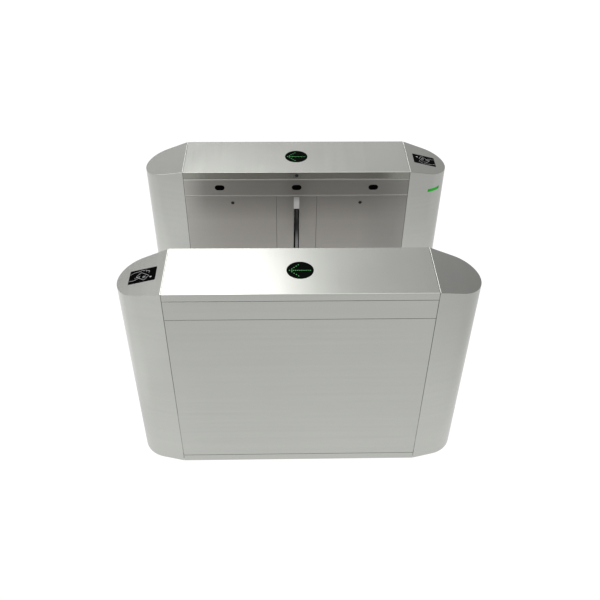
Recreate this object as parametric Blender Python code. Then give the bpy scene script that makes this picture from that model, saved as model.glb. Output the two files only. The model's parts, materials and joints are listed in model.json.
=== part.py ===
"""A flap barrier turnstile: two steel cabinets with one lane between them.

The cabinets are the same, and the left one is the right one turned half round. Every piece
is drawn once in the right cabinet's own frame: x runs along the lane to the reader's end,
the lane lies on the -y side, and z is up from the floor.
"""

import math

import bmesh
import bpy
from mathutils import Matrix

# Outside sizes of a cabinet and of the lane
HEIGHT = 0.980
WIDTH = 0.280
LENGTH = 1.400
END_LENGTH = 0.185
NOSE_RADIUS = 0.120
END_FALL = 0.0475
LANE = 0.565

# Sheet, running gaps and seams
SHEET = 0.0015
FOLD_RADIUS = 0.0010
GAP = 0.0003
SEAM = 0.0015
COVER_SEAM = 0.0020
OVERRUN = 0.0020

# Seams round the centre body: the plinth's height, and how far the others lie below the top
PLINTH_TOP = 0.038
RAIL_DROP = 0.126
COVER_DROP = 0.034

# Panels and their folded edges
RETURN_DEPTH = 0.015
END_FLANGE = 0.018
SLOT_PANEL_WIDTH = 0.188
SLOT_WIDTH = 0.026
SLOT_BOTTOM = 0.250
SLOT_TOP_RIM = 0.005
CAP_HEIGHT = 0.065
CAP_FLANGE = 0.009
CAP_PLATE = 0.0012

# Base channel
BASE_PLATE = 0.004
BASE_WALL = 0.002
BASE_LIP = 0.030
ANCHOR_RADIUS = 0.007
ANCHOR_EDGE = 0.060
CABLE_RADIUS = 0.025

# Inner frame of square tube
TUBE = 0.020
CAM_NOTCH_DEPTH = 0.007

# Doors
DOOR_DEPTH = 0.0125
DOOR_DROP = 0.0022
PIN_RADIUS = 0.0020
PIN_INSET = 0.006
PIN_RISE = 0.007
PIN_REACH = 0.0042

# Cam locks
LOCK_HEAD_RADIUS = 0.0080
LOCK_HEAD = 0.0012
LOCK_BARREL_RADIUS = 0.0060
LOCK_BELOW_RAIL = 0.036
LOCK_FROM_END = 0.219
COVER_LOCK_DROP = 0.017
KEY_SLOT_WIDTH = 0.0014
KEY_SLOT_LENGTH = 0.0080
KEY_SLOT_DEPTH = 0.0006
CAM_PLATE = 0.003
CAM_WIDTH = 0.015
CAM_CLEARANCE = 0.0015
DOOR_CAM = 0.044
COVER_CAM = 0.028

# Cover hinge, inside the cover along the outer side
HINGE_INSET = 0.005
HINGE_DROP = 0.014
HINGE_LENGTH = 0.600
HINGE_LEAF = 0.0025
HINGE_FOOT = 0.019
HINGE_FOOT_INSET = 0.026
HINGE_EAR = 0.004
HINGE_EAR_RADIUS = 0.005
HINGE_ARM = 0.0040
HINGE_PIN_RADIUS = 0.0017
HINGE_PIN_REACH = 0.0065

# Round direction display in the cover
DISPLAY_RADIUS = 0.052
DISPLAY_FLANGE = 0.005
DISPLAY_PLATE = 0.0025
DISPLAY_SINK = 0.0006

# Sensor windows in the lane side's rail
LENS_LENGTH = 0.044
LENS_HEIGHT = 0.027
LENS_FROM_END = 0.163
LENS_STRIP_END = 0.040
LENS_STRIP_HEIGHT = 0.044
LENS_PLATE = 0.002

# Card reader window and light bar in the reader's end
WINDOW_LENGTH = 0.108
WINDOW_WIDTH = 0.080
WINDOW_START = 0.033
WINDOW_CORNER = 0.004
WINDOW_PLATE = 0.002
WINDOW_FLANGE = 0.005
BAR_LENGTH = 0.066
BAR_HEIGHT = 0.015
BAR_DROP = 0.115
BAR_START = -75
BAR_PLATE = 0.002
BAR_FLANGE = 0.004

# Flap and its pivot
PIVOT_INSET = 0.045
PIVOT_Z = 0.280
FLAP_SWING = 33
FLAP_PLATE = 0.014
FLAP_OFFSET = 0.0022
FLAP_SETBACK = 0.006
FLAP_CORNER = 0.012
FLAP_EDGE = 0.002
FLAP_FOOT = 0.030
FLAP_TOP_GAP = 0.0075
FLAP_BACK_GAP = 0.010
CARRIER_PLATE = 0.003
CARRIER_RADIUS = 0.026
CARRIER_RISE = 0.115
CARRIER_FRONT = 0.033
CARRIER_BACK = 0.045
SHAFT_RADIUS = 0.010
SHAFT_SHOULDER = 0.014
SHAFT_REACH = 0.058

# Gear pair: a toothed sector on the flap's shaft and the motor's pinion
MODULE = 0.003
SECTOR_TEETH = 60
PINION_TEETH = 15
PRESSURE_ANGLE = 20
BACKLASH = 0.0004
SECTOR_ADDENDUM_SHARE = 0.85
DEDENDUM_SHARE = 1.25
PINION_BEARING = -60
SECTOR_MARGIN_TEETH = 2
GEAR_WIDTH = 0.012
GEAR_X = 0.020
GEAR_HUB = 0.024
GEAR_COLLAR = 0.018
PINION_SIDE = 0.001
PINION_SHAFT = 0.006
WEB_INNER = 0.034
WEB_OUTER = 0.074
WEB_RIB = 0.010

# Frame of the mechanism, its bearings and its motor
CHEEK_GAP = 0.090
CHEEK = 0.006
FOOT_FRONT = 0.033
FOOT_BACK = 0.200
FOOT_PLATE = 0.006
CHEEK_FRONT = 0.013
CHEEK_SHOULDER = 0.080
CHEEK_BACK_RISE = 0.050
BOSS_RADIUS = 0.032
BEARING_RADIUS = 0.021
BEARING_FLANGE = 0.029
BEARING_RIM = 0.004
SHAFT_HOLE = 0.010
GEARBOX_HALF = 0.035
GEARBOX_LENGTH = 0.046
MOTOR_RADIUS = 0.030
MOTOR_LENGTH = 0.085
MOTOR_BELL = 0.024
MOTOR_BELL_LENGTH = 0.012
BORE_DEPTH = 0.026
BLOCK_EDGE = 0.003

# Electrics of the right cabinet, on its base
BOX_LENGTH = 0.240
BOX_DEPTH = 0.045
BOX_HEIGHT = 0.230
BOX_FROM_SIDE = 0.035
BOX_FROM_END = 0.095
BOX_LID = 0.003
BOX_LID_RIM = 0.006
GLAND_RADIUS = 0.009
GLAND_HEIGHT = 0.014
GLAND_COUNT = 4
SUPPLY_LENGTH = 0.200
SUPPLY_WIDTH = 0.098
SUPPLY_HEIGHT = 0.048
SUPPLY_FROM_END = 0.055
VENT_LENGTH = 0.050
VENT_WIDTH = 0.004
VENT_DEPTH = 0.0015
VENT_PITCH = 0.010
VENT_COUNT = 9

# Facets of round forms
NOSE_STEPS = 24
ROUND_STEPS = 20
SMALL_STEPS = 12
DISC_STEPS = 40

# Places worked out from the sizes above
HALF_WIDTH = WIDTH / 2
HALF_CENTRE = LENGTH / 2 - END_LENGTH
RAIL_BOTTOM = HEIGHT - RAIL_DROP
COVER_BOTTOM = HEIGHT - COVER_DROP
NOSE_X = LENGTH / 2 - NOSE_RADIUS
END_SLOPE = END_FALL / END_LENGTH
CORNER_DISTANCE = math.hypot(HALF_WIDTH, NOSE_X - HALF_CENTRE)
TANGENT = math.atan2(HALF_WIDTH, HALF_CENTRE - NOSE_X) - math.acos(NOSE_RADIUS / CORNER_DISTANCE)
CENTRE_END = HALF_CENTRE - SEAM
PLINTH_EDGE = PLINTH_TOP - SEAM / 2
PANEL_LOW = PLINTH_TOP + SEAM / 2
PANEL_HIGH = RAIL_BOTTOM - SEAM / 2
RAIL_LOW = RAIL_BOTTOM + SEAM / 2
RAIL_HIGH = COVER_BOTTOM - COVER_SEAM / 2
COVER_LOW = COVER_BOTTOM + COVER_SEAM / 2
FRAME_FACE = HALF_WIDTH - RETURN_DEPTH - GAP
SLOT_HALF = SLOT_WIDTH / 2
SLOT_PANEL_HALF = SLOT_PANEL_WIDTH / 2 - SEAM / 2
SLOT_TOP = PANEL_HIGH - SLOT_TOP_RIM
CAP_BOTTOM = SLOT_TOP - CAP_HEIGHT
DOOR_NEAR = SLOT_PANEL_WIDTH / 2 + SEAM / 2
DOOR_LOW = PLINTH_TOP + DOOR_DROP
DOOR_PIN_Y = -HALF_WIDTH + PIN_INSET
DOOR_PIN_Z = DOOR_LOW + PIN_RISE
DOOR_LOCK_Z = RAIL_BOTTOM - LOCK_BELOW_RAIL
LOCK_FROM_MIDDLE = HALF_CENTRE - LOCK_FROM_END
LENS_SPACING = HALF_CENTRE - LENS_FROM_END
BAR_Z = HEIGHT - BAR_DROP
COVER_LOCK_Z = HEIGHT - COVER_LOCK_DROP
CAM_Y = -HALF_WIDTH + RETURN_DEPTH + CAM_CLEARANCE
CAM_NOTCH_HALF = math.sqrt(max(COVER_CAM**2 - (COVER_LOCK_Z - RAIL_HIGH) ** 2, 0)) + CAM_CLEARANCE
HINGE_Y = HALF_WIDTH - HINGE_INSET
HINGE_Z = HEIGHT - HINGE_DROP
PIVOT_Y = -HALF_WIDTH + PIVOT_INSET
FLAP_RADIUS = CAP_BOTTOM - FLAP_TOP_GAP - PIVOT_Z
FLAP_LOW_X = FLAP_OFFSET - FLAP_PLATE / 2
FLAP_HIGH_X = FLAP_OFFSET + FLAP_PLATE / 2
CHEEK_OUT = CHEEK_GAP / 2 + CHEEK
SECTOR_RADIUS = MODULE * SECTOR_TEETH / 2
PINION_RADIUS = MODULE * PINION_TEETH / 2
PINION_Y = PIVOT_Y + (SECTOR_RADIUS + PINION_RADIUS) * math.cos(math.radians(PINION_BEARING))
PINION_Z = PIVOT_Z + (SECTOR_RADIUS + PINION_RADIUS) * math.sin(math.radians(PINION_BEARING))
BASE_FLOOR = BASE_PLATE + GAP
BOX_END_X = BOX_FROM_END - HALF_CENTRE
BOX_OUTER_Y = HALF_WIDTH - BOX_FROM_SIDE
SUPPLY_END_X = SUPPLY_FROM_END - HALF_CENTRE
CABINET_Y = (LANE + WIDTH) / 2

# Colour, roughness and metallic value of each finish
FINISHES = {
    "brushed_steel": ((0.60, 0.60, 0.58), 0.34, 1.0),
    "frame_steel": ((0.46, 0.47, 0.48), 0.50, 1.0),
    "bright_steel": ((0.72, 0.72, 0.72), 0.22, 1.0),
    "black_acrylic": ((0.012, 0.012, 0.014), 0.10, 0.0),
    "green_lens": ((0.05, 0.55, 0.12), 0.25, 0.0),
    "grey_plastic": ((0.30, 0.31, 0.32), 0.45, 0.0),
    "gear_steel": ((0.40, 0.40, 0.42), 0.38, 1.0),
    "motor_black": ((0.03, 0.03, 0.035), 0.45, 0.0),
    "box_grey": ((0.55, 0.56, 0.57), 0.50, 0.0),
    "supply_aluminium": ((0.66, 0.66, 0.67), 0.40, 1.0),
}


def finish(name):
    """The material of that name, made the first time it is asked for."""
    found = bpy.data.materials.get(name)
    if found:
        return found
    colour, roughness, metallic = FINISHES[name]
    made = bpy.data.materials.new(name)
    made.use_nodes = True
    shader = made.node_tree.nodes["Principled BSDF"]
    shader.inputs["Base Color"].default_value = (*colour, 1.0)
    shader.inputs["Roughness"].default_value = roughness
    shader.inputs["Metallic"].default_value = metallic
    made.diffuse_color = (*colour, 1.0)
    return made


# Shapes


def turn_axes(axis):
    """The function that sets a flat point and a height on the named axis."""
    return {
        "x": lambda a, b, height: (height, a, b),
        "y": lambda a, b, height: (a, height, b),
        "z": lambda a, b, height: (a, b, height),
    }[axis]


def closed(shape):
    """The shape with its faces turned outwards."""
    bmesh.ops.recalc_face_normals(shape, faces=shape.faces)
    return shape


def prism(outline, axis, low, high):
    """A flat outline carried along an axis from low to high."""
    place = turn_axes(axis)
    shape = bmesh.new()
    rings = [[shape.verts.new(place(a, b, height)) for a, b in outline] for height in (low, high)]
    for ring in rings:
        shape.faces.new(ring)
    for first, last in zip(range(-1, len(outline) - 1), range(len(outline))):
        shape.faces.new((rings[0][first], rings[0][last], rings[1][last], rings[1][first]))
    return closed(shape)


def block(low, high):
    """A straight block between two corners."""
    outline = [(low[0], low[1]), (high[0], low[1]), (high[0], high[1]), (low[0], high[1])]
    return prism(outline, "z", low[2], high[2])


def arc(centre, radius, start, end, steps):
    """Points on an arc, with its angles in degrees."""
    angles = [math.radians(start + (end - start) * k / steps) for k in range(steps + 1)]
    return [(centre[0] + radius * math.cos(a), centre[1] + radius * math.sin(a)) for a in angles]


def circle(centre, radius, steps):
    """Points right round a circle."""
    return arc(centre, radius, 0, 360, steps)[:-1]


def rounded(low, high, radius, steps):
    """A rectangle with round corners."""
    corners = [
        (high[0] - radius, high[1] - radius, 0),
        (low[0] + radius, high[1] - radius, 90),
        (low[0] + radius, low[1] + radius, 180),
        (high[0] - radius, low[1] + radius, 270),
    ]
    return [point for a, b, start in corners for point in arc((a, b), radius, start, start + 90, steps)]


def turned(profile, axis, centre, steps):
    """A profile of (place, radius) points turned round an axis; a radius of zero closes an end."""
    place = turn_axes(axis)
    shape = bmesh.new()
    rings = []
    for along, radius in profile:
        spots = circle(centre, radius, steps) if radius else [centre]
        rings.append([shape.verts.new(place(a, b, along)) for a, b in spots])
    pairs = list(zip(rings, rings[1:]))
    if profile[0][1]:
        pairs.append((rings[-1], rings[0]))
    for one, two in pairs:
        for k in range(steps):
            corners = [one[k % len(one)], one[(k + 1) % len(one)], two[(k + 1) % len(two)], two[k % len(two)]]
            shape.faces.new(list(dict.fromkeys(corners)))
    return closed(shape)


def rod(axis, centre, radius, low, high, steps=SMALL_STEPS):
    """A plain round rod."""
    return prism(circle(centre, radius, steps), axis, low, high)


def moved(shape, matrix):
    """The shape set by a matrix, with its faces still outwards."""
    bmesh.ops.transform(shape, matrix=matrix, verts=shape.verts)
    return closed(shape)


def eased(shape, radius, steps, wanted):
    """The shape with the edges that are wanted rounded off."""
    edges = [edge for edge in shape.edges if wanted(edge)]
    bmesh.ops.bevel(shape, geom=edges, offset=radius, segments=steps, profile=0.5, affect="EDGES")
    return closed(shape)


def working_object(shape, name):
    """An object in the scene that holds a shape for a Boolean."""
    mesh = bpy.data.meshes.new(name)
    shape.to_mesh(mesh)
    shape.free()
    thing = bpy.data.objects.new(name, mesh)
    bpy.context.scene.collection.objects.link(thing)
    return thing


def combined(operation, body, tools):
    """The body after each tool is joined to it or cut from it."""
    things = [working_object(body, "body")] + [working_object(tool, "tool") for tool in tools]
    for tool in things[1:]:
        step = things[0].modifiers.new(operation, "BOOLEAN")
        step.operation = operation
        step.solver = "EXACT"
        step.object = tool
    graph = bpy.context.evaluated_depsgraph_get()
    result = bpy.data.meshes.new_from_object(things[0].evaluated_get(graph))
    shape = bmesh.new()
    shape.from_mesh(result)
    for thing in things:
        spent = thing.data
        bpy.data.objects.remove(thing)
        bpy.data.meshes.remove(spent)
    bpy.data.meshes.remove(result)
    return shape


def cut(body, *tools):
    """The body with each tool taken out of it."""
    return combined("DIFFERENCE", body, tools)


def joined(body, *tools):
    """The body and the tools as one solid."""
    return combined("UNION", body, tools)


# Sheet pans: a flat face with a folded edge on all four sides


def lane_face(a, b, depth):
    return (a, -HALF_WIDTH + depth, b)


def outer_face(a, b, depth):
    return (a, HALF_WIDTH - depth, b)


def top_face(a, b, depth):
    return (a, b, HEIGHT - depth)


def pan(face, low, high, fold):
    """A pan whose face lies on a side of the cabinet, with its edges folded in by a depth."""
    shape = bmesh.new()

    def ring(inset, depth):
        corners = [
            (low[0] + inset, low[1] + inset),
            (high[0] - inset, low[1] + inset),
            (high[0] - inset, high[1] - inset),
            (low[0] + inset, high[1] - inset),
        ]
        return [shape.verts.new(face(a, b, depth)) for a, b in corners]

    rings = [ring(0, 0), ring(0, fold), ring(SHEET, fold), ring(SHEET, SHEET)]
    shape.faces.new(rings[0])
    shape.faces.new(rings[3])
    for one, two in zip(rings, rings[1:]):
        for k in range(4):
            shape.faces.new((one[k - 1], one[k], two[k], two[k - 1]))
    front = set(rings[0])
    return eased(closed(shape), FOLD_RADIUS, 2, lambda edge: set(edge.verts) <= front)


# Fixed casing


def base_frame():
    """A lipped channel along the floor, with anchor holes and a way in for the cables."""
    edge = HALF_WIDTH
    profile = [(-edge, 0), (edge, 0), (edge, PLINTH_EDGE), (edge - BASE_LIP, PLINTH_EDGE)]
    profile += [(edge - BASE_LIP, PLINTH_EDGE - BASE_WALL), (edge - BASE_WALL, PLINTH_EDGE - BASE_WALL)]
    profile += [(edge - BASE_WALL, BASE_PLATE), (BASE_WALL - edge, BASE_PLATE)]
    profile += [(BASE_WALL - edge, PLINTH_EDGE - BASE_WALL), (BASE_LIP - edge, PLINTH_EDGE - BASE_WALL)]
    profile += [(BASE_LIP - edge, PLINTH_EDGE), (-edge, PLINTH_EDGE)]
    channel = prism(profile, "x", -CENTRE_END, CENTRE_END)
    spots = [(x, y) for x in (-1, 1) for y in (-1, 1)]
    holes = [
        rod("z", (x * (CENTRE_END - ANCHOR_EDGE), y * (edge - ANCHOR_EDGE)), ANCHOR_RADIUS, -OVERRUN,
            BASE_PLATE + OVERRUN)
        for x, y in spots
    ]
    way_in = rod("z", (HALF_CENTRE / 2, 0), CABLE_RADIUS, -OVERRUN, BASE_PLATE + OVERRUN, ROUND_STEPS)
    return cut(channel, way_in, *holes)


def nose_path(inset, start_x):
    """Plan points of an end, or of a wall inside it, from the lane side round to the outer side."""
    radius = NOSE_RADIUS - inset
    bend = math.degrees(TANGENT)
    points = arc((NOSE_X, 0), radius, -bend, bend, NOSE_STEPS)
    side = points[-1][1] + (points[-1][0] - start_x) / math.tan(TANGENT)
    return [(start_x, -side)] + points + [(start_x, side)]


def end_shell():
    """The tapered end: round nose, top that falls away, and flanges that meet the centre body."""
    flange = HALF_WIDTH - END_FLANGE
    outside = nose_path(0, HALF_CENTRE)
    inside = [(HALF_CENTRE, -flange), (HALF_CENTRE + SHEET, -flange)]
    inside += nose_path(SHEET, HALF_CENTRE + SHEET)
    inside += [(HALF_CENTRE + SHEET, flange), (HALF_CENTRE, flange)]
    thickness = SHEET * math.hypot(1, END_SLOPE)
    shape = bmesh.new()

    def column(x, y, drop):
        top = HEIGHT - drop - (x - HALF_CENTRE) * END_SLOPE
        return shape.verts.new((x, y, 0)), shape.verts.new((x, y, top))

    outer = [column(x, y, 0) for x, y in outside]
    inner = [column(x, y, thickness) for x, y in inside]
    for wall in (outer, inner):
        for one, two in zip(wall, wall[1:]):
            shape.faces.new((one[0], two[0], two[1], one[1]))
        shape.faces.new([top for _, top in wall])
    shape.faces.new([foot for foot, _ in outer] + [foot for foot, _ in reversed(inner)])
    shape.faces.new([*outer[0], *reversed(outer[-1]), *inner[-1], *reversed(inner[0])])
    rim = {top for _, top in outer}
    back = {outer[0][1], outer[-1][1]}
    return eased(
        closed(shape), FOLD_RADIUS, 2, lambda edge: set(edge.verts) <= rim and set(edge.verts) != back
    )


def pin_hole(low, high):
    """The hole that a door's pin turns in."""
    return rod("x", (DOOR_PIN_Y, DOOR_PIN_Z), PIN_RADIUS + GAP, low, high)


def on_slope():
    """The matrix that sets a flat drawing on the falling top of the reader's end."""
    return (
        Matrix.Translation((HALF_CENTRE, 0, HEIGHT)) @ Matrix.Rotation(math.atan(END_SLOPE), 4, "Y")
    )


def window_outline(grow):
    """The reader window's outline on the slope, grown all round."""
    low = (WINDOW_START - grow, -WINDOW_WIDTH / 2 - grow)
    high = (WINDOW_START + WINDOW_LENGTH + grow, WINDOW_WIDTH / 2 + grow)
    return rounded(low, high, WINDOW_CORNER + grow, 3)


def bar_sector(out, inside, grow, grow_ends):
    """A stretch of the nose's wall between two depths, as the light bar's plan."""
    ends = math.degrees(grow_ends / NOSE_RADIUS)
    start = BAR_START - ends
    stop = BAR_START + math.degrees(BAR_LENGTH / NOSE_RADIUS) + ends
    plan = arc((NOSE_X, 0), NOSE_RADIUS - out, start, stop, 12)
    plan += arc((NOSE_X, 0), NOSE_RADIUS - inside, stop, start, 12)
    half = BAR_HEIGHT / 2 + grow
    return prism(plan, "z", BAR_Z - half, BAR_Z + half)


def reader_end_housing():
    window = moved(prism(window_outline(GAP), "z", -SHEET - OVERRUN, OVERRUN), on_slope())
    bar = bar_sector(-OVERRUN, SHEET + OVERRUN, GAP, GAP)
    return cut(end_shell(), window, bar, pin_hole(HALF_CENTRE - OVERRUN, HALF_CENTRE + SHEET + OVERRUN))


def plain_end_housing():
    shell = moved(end_shell(), Matrix.Scale(-1, 4, (1, 0, 0)))
    return cut(shell, pin_hole(-HALF_CENTRE - SHEET - OVERRUN, -HALF_CENTRE + OVERRUN))


def reader_window():
    """Black window with a flange that lies under the sheet."""
    under = SHEET + GAP
    front = prism(window_outline(0), "z", -under - WINDOW_PLATE / 2, 0)
    flange = prism(window_outline(WINDOW_FLANGE), "z", -under - WINDOW_PLATE, -under)
    return moved(joined(front, flange), on_slope())


def light_bar():
    """Green bar let into the nose, with a flange behind the sheet."""
    under = SHEET + GAP
    return joined(
        bar_sector(0, under + BAR_PLATE / 2, 0, 0),
        bar_sector(under, under + BAR_PLATE, BAR_FLANGE, BAR_FLANGE),
    )


def outer_panel():
    return pan(outer_face, (-CENTRE_END, PANEL_LOW), (CENTRE_END, PANEL_HIGH), RETURN_DEPTH)


def outer_rail():
    return pan(outer_face, (-CENTRE_END, RAIL_LOW), (CENTRE_END, RAIL_HIGH), RETURN_DEPTH)


def lens_outline(place, grow):
    """An oblong sensor window, grown all round."""
    half = LENS_LENGTH / 2 + grow
    middle = (RAIL_LOW + RAIL_HIGH) / 2
    radius = LENS_HEIGHT / 2 + grow
    return rounded((place - half, middle - radius), (place + half, middle + radius), radius, 6)


def lens_places():
    return [-LENS_SPACING, 0, LENS_SPACING]


def sensor_rail():
    rail = pan(lane_face, (-CENTRE_END, RAIL_LOW), (CENTRE_END, RAIL_HIGH), RETURN_DEPTH)
    low, high = -HALF_WIDTH - OVERRUN, -HALF_WIDTH + SHEET + OVERRUN
    return cut(rail, *[prism(lens_outline(place, GAP), "y", low, high) for place in lens_places()])


def sensor_lens_strip():
    """Black strip behind the rail, with the three windows standing forward through it."""
    back = -HALF_WIDTH + SHEET + GAP
    half = LENS_SPACING + LENS_LENGTH / 2 + LENS_STRIP_END
    middle = (RAIL_LOW + RAIL_HIGH) / 2
    low = (-half, back, middle - LENS_STRIP_HEIGHT / 2)
    high = (half, back + LENS_PLATE, middle + LENS_STRIP_HEIGHT / 2)
    fronts = [
        prism(lens_outline(place, 0), "y", -HALF_WIDTH + GAP, back + LENS_PLATE / 2)
        for place in lens_places()
    ]
    return joined(block(low, high), *fronts)


def slot_panel():
    """Narrow panel in the lane side's middle, with the slot that the flap comes out of."""
    face = pan(lane_face, (-SLOT_PANEL_HALF, PANEL_LOW), (SLOT_PANEL_HALF, PANEL_HIGH), RETURN_DEPTH)
    low = (-SLOT_HALF, -HALF_WIDTH - OVERRUN, SLOT_BOTTOM)
    high = (SLOT_HALF, -HALF_WIDTH + SHEET + OVERRUN, SLOT_TOP)
    reach = SLOT_PANEL_HALF + OVERRUN
    return cut(face, block(low, high), pin_hole(-reach, reach))


def slot_cap():
    """Bright cap that closes the slot above the flap."""
    back = -HALF_WIDTH + SHEET + GAP
    half = SLOT_HALF - GAP
    front = block((-half, -HALF_WIDTH + GAP, CAP_BOTTOM), (half, back + CAP_PLATE / 2, SLOT_TOP - GAP))
    wide = SLOT_HALF + CAP_FLANGE
    top = PANEL_HIGH - SHEET - GAP
    flange = block((-wide, back, CAP_BOTTOM), (wide, back + CAP_PLATE, top))
    return joined(front, flange)


def inner_frame():
    """Ring of square tube under the cover, on four corner posts and two posts by the slot."""
    long, wide = CENTRE_END, FRAME_FACE
    low, high = PLINTH_EDGE + GAP, RAIL_HIGH
    post = long - TUBE
    solid = block((-long, -wide, low), (long, wide, high))
    through = block(
        (-post, -wide + TUBE, low - OVERRUN), (post, wide - TUBE, high + OVERRUN)
    )
    ends = block((-long - OVERRUN, -wide + TUBE, low - OVERRUN), (long + OVERRUN, wide - TUBE, high - TUBE))
    outer_bay = block((-post, 0, low - OVERRUN), (post, wide + OVERRUN, high - TUBE))
    slot_post_out = SLOT_PANEL_HALF + GAP
    bays = [
        block((first, -wide - OVERRUN, low - OVERRUN), (last, 0, high - TUBE))
        for first, last in (
            (-post, -slot_post_out),
            (TUBE - slot_post_out, slot_post_out - TUBE),
            (slot_post_out, post),
        )
    ]
    notch = block(
        (-CAM_NOTCH_HALF, -wide - OVERRUN, high - TUBE - OVERRUN),
        (CAM_NOTCH_HALF, -wide + CAM_NOTCH_DEPTH, high + OVERRUN),
    )
    return cut(solid, through, ends, outer_bay, *bays, notch)


# Cover with its hinge, display and lock


def top_cover():
    """Lift-up cover with lips all round, a round opening, a lock hole and two hinge ears."""
    low, high = (-CENTRE_END, -HALF_WIDTH), (CENTRE_END, HALF_WIDTH)
    shell = pan(top_face, low, high, HEIGHT - COVER_LOW)
    under = HEIGHT - SHEET / 2
    ears = []
    for side in (-1, 1):
        near = side * (HINGE_LENGTH / 2 + COVER_SEAM / 2)
        far = near + side * HINGE_EAR
        outline = arc((HINGE_Y, HINGE_Z), HINGE_EAR_RADIUS, 180, 270, 6)
        outline += [(HALF_WIDTH - SHEET / 2, HINGE_Z - HINGE_EAR_RADIUS), (HALF_WIDTH - SHEET / 2, under)]
        outline += [(HINGE_Y - HINGE_EAR_RADIUS, under)]
        ears.append(prism(outline, "x", min(near, far), max(near, far)))
    reach = HINGE_LENGTH / 2 + HINGE_EAR + OVERRUN
    hole = rod("x", (HINGE_Y, HINGE_Z), HINGE_PIN_RADIUS + GAP, -reach, reach)
    display = rod("z", (0, 0), DISPLAY_RADIUS + GAP, HEIGHT - SHEET - OVERRUN, HEIGHT + OVERRUN, DISC_STEPS)
    lock = rod(
        "y", (0, COVER_LOCK_Z), LOCK_BARREL_RADIUS + GAP, -HALF_WIDTH - OVERRUN,
        -HALF_WIDTH + SHEET + OVERRUN,
    )
    return cut(joined(shell, *ears), hole, display, lock)


def cover_hinge():
    """Bent leaf on the frame that reaches over the lip's path, with a pin at each end."""
    curl = HINGE_ARM / 2
    web = HALF_WIDTH - HINGE_FOOT_INSET
    foot = RAIL_HIGH + GAP
    outline = [(web - HINGE_FOOT, foot), (web, foot), (web, HINGE_Z - curl)]
    outline += arc((HINGE_Y, HINGE_Z), curl, -90, 90, 8)
    outline += [(web - HINGE_LEAF, HINGE_Z + curl), (web - HINGE_LEAF, foot + SHEET)]
    outline += [(web - HINGE_FOOT, foot + SHEET)]
    leaf = prism(outline, "x", -HINGE_LENGTH / 2, HINGE_LENGTH / 2)
    inside, reach = HINGE_LENGTH / 2 - OVERRUN, HINGE_LENGTH / 2 + HINGE_PIN_REACH
    pins = [
        rod("x", (HINGE_Y, HINGE_Z), HINGE_PIN_RADIUS, low, high)
        for low, high in ((-reach, -inside), (inside, reach))
    ]
    return joined(leaf, *pins)


def arrow_display():
    """Round black display, just under the cover's face, with a flange below the sheet."""
    under = HEIGHT - SHEET - GAP
    face = HEIGHT - DISPLAY_SINK
    profile = [(under - DISPLAY_PLATE, 0), (under - DISPLAY_PLATE, DISPLAY_RADIUS + DISPLAY_FLANGE)]
    profile += [(under, DISPLAY_RADIUS + DISPLAY_FLANGE), (under, DISPLAY_RADIUS)]
    profile += [(face, DISPLAY_RADIUS), (face, 0)]
    return turned(profile, "z", (0, 0), DISC_STEPS)


def cam_lock(x, z, reach):
    """Lock with its head on the sheet, and its cam lying sideways behind the folded edge."""
    head = -HALF_WIDTH - GAP
    back = CAM_Y + CAM_PLATE
    profile = [(head - LOCK_HEAD, 0), (head - LOCK_HEAD, LOCK_HEAD_RADIUS - LOCK_HEAD / 2)]
    profile += [(head - LOCK_HEAD / 2, LOCK_HEAD_RADIUS), (head, LOCK_HEAD_RADIUS)]
    profile += [(head, LOCK_BARREL_RADIUS), (back + LOCK_HEAD, LOCK_BARREL_RADIUS), (back + LOCK_HEAD, 0)]
    body = turned(profile, "y", (x, z), SMALL_STEPS)
    half = CAM_WIDTH / 2
    outline = arc((x + reach - half, z), half, -90, 90, 6) + arc((x, z), half, 90, 270, 8)
    cam = prism(outline, "y", CAM_Y, back)
    front = head - LOCK_HEAD
    keyhole = block(
        (x - KEY_SLOT_WIDTH / 2, front - OVERRUN, z - KEY_SLOT_LENGTH / 2),
        (x + KEY_SLOT_WIDTH / 2, front + KEY_SLOT_DEPTH, z + KEY_SLOT_LENGTH / 2),
    )
    return cut(joined(body, cam), keyhole)


def cover_lock():
    return cam_lock(0, COVER_LOCK_Z, COVER_CAM)


# Lane side doors


def door(side):
    """Service door beside the slot panel, on a pin at each lower corner."""
    near, far = sorted((side * DOOR_NEAR, side * CENTRE_END))
    skin = pan(lane_face, (near, DOOR_LOW), (far, PANEL_HIGH), DOOR_DEPTH)
    spot = (DOOR_PIN_Y, DOOR_PIN_Z)
    pins = [
        rod("x", spot, PIN_RADIUS, near - PIN_REACH, near + SHEET / 2),
        rod("x", spot, PIN_RADIUS, far - SHEET / 2, far + PIN_REACH),
    ]
    hole = rod(
        "y", (side * LOCK_FROM_MIDDLE, DOOR_LOCK_Z), LOCK_BARREL_RADIUS + GAP, -HALF_WIDTH - OVERRUN,
        -HALF_WIDTH + SHEET + OVERRUN,
    )
    return cut(joined(skin, *pins), hole)


def door_lock(side):
    return cam_lock(side * LOCK_FROM_MIDDLE, DOOR_LOCK_Z, DOOR_CAM)


# Flap and what turns it


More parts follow.
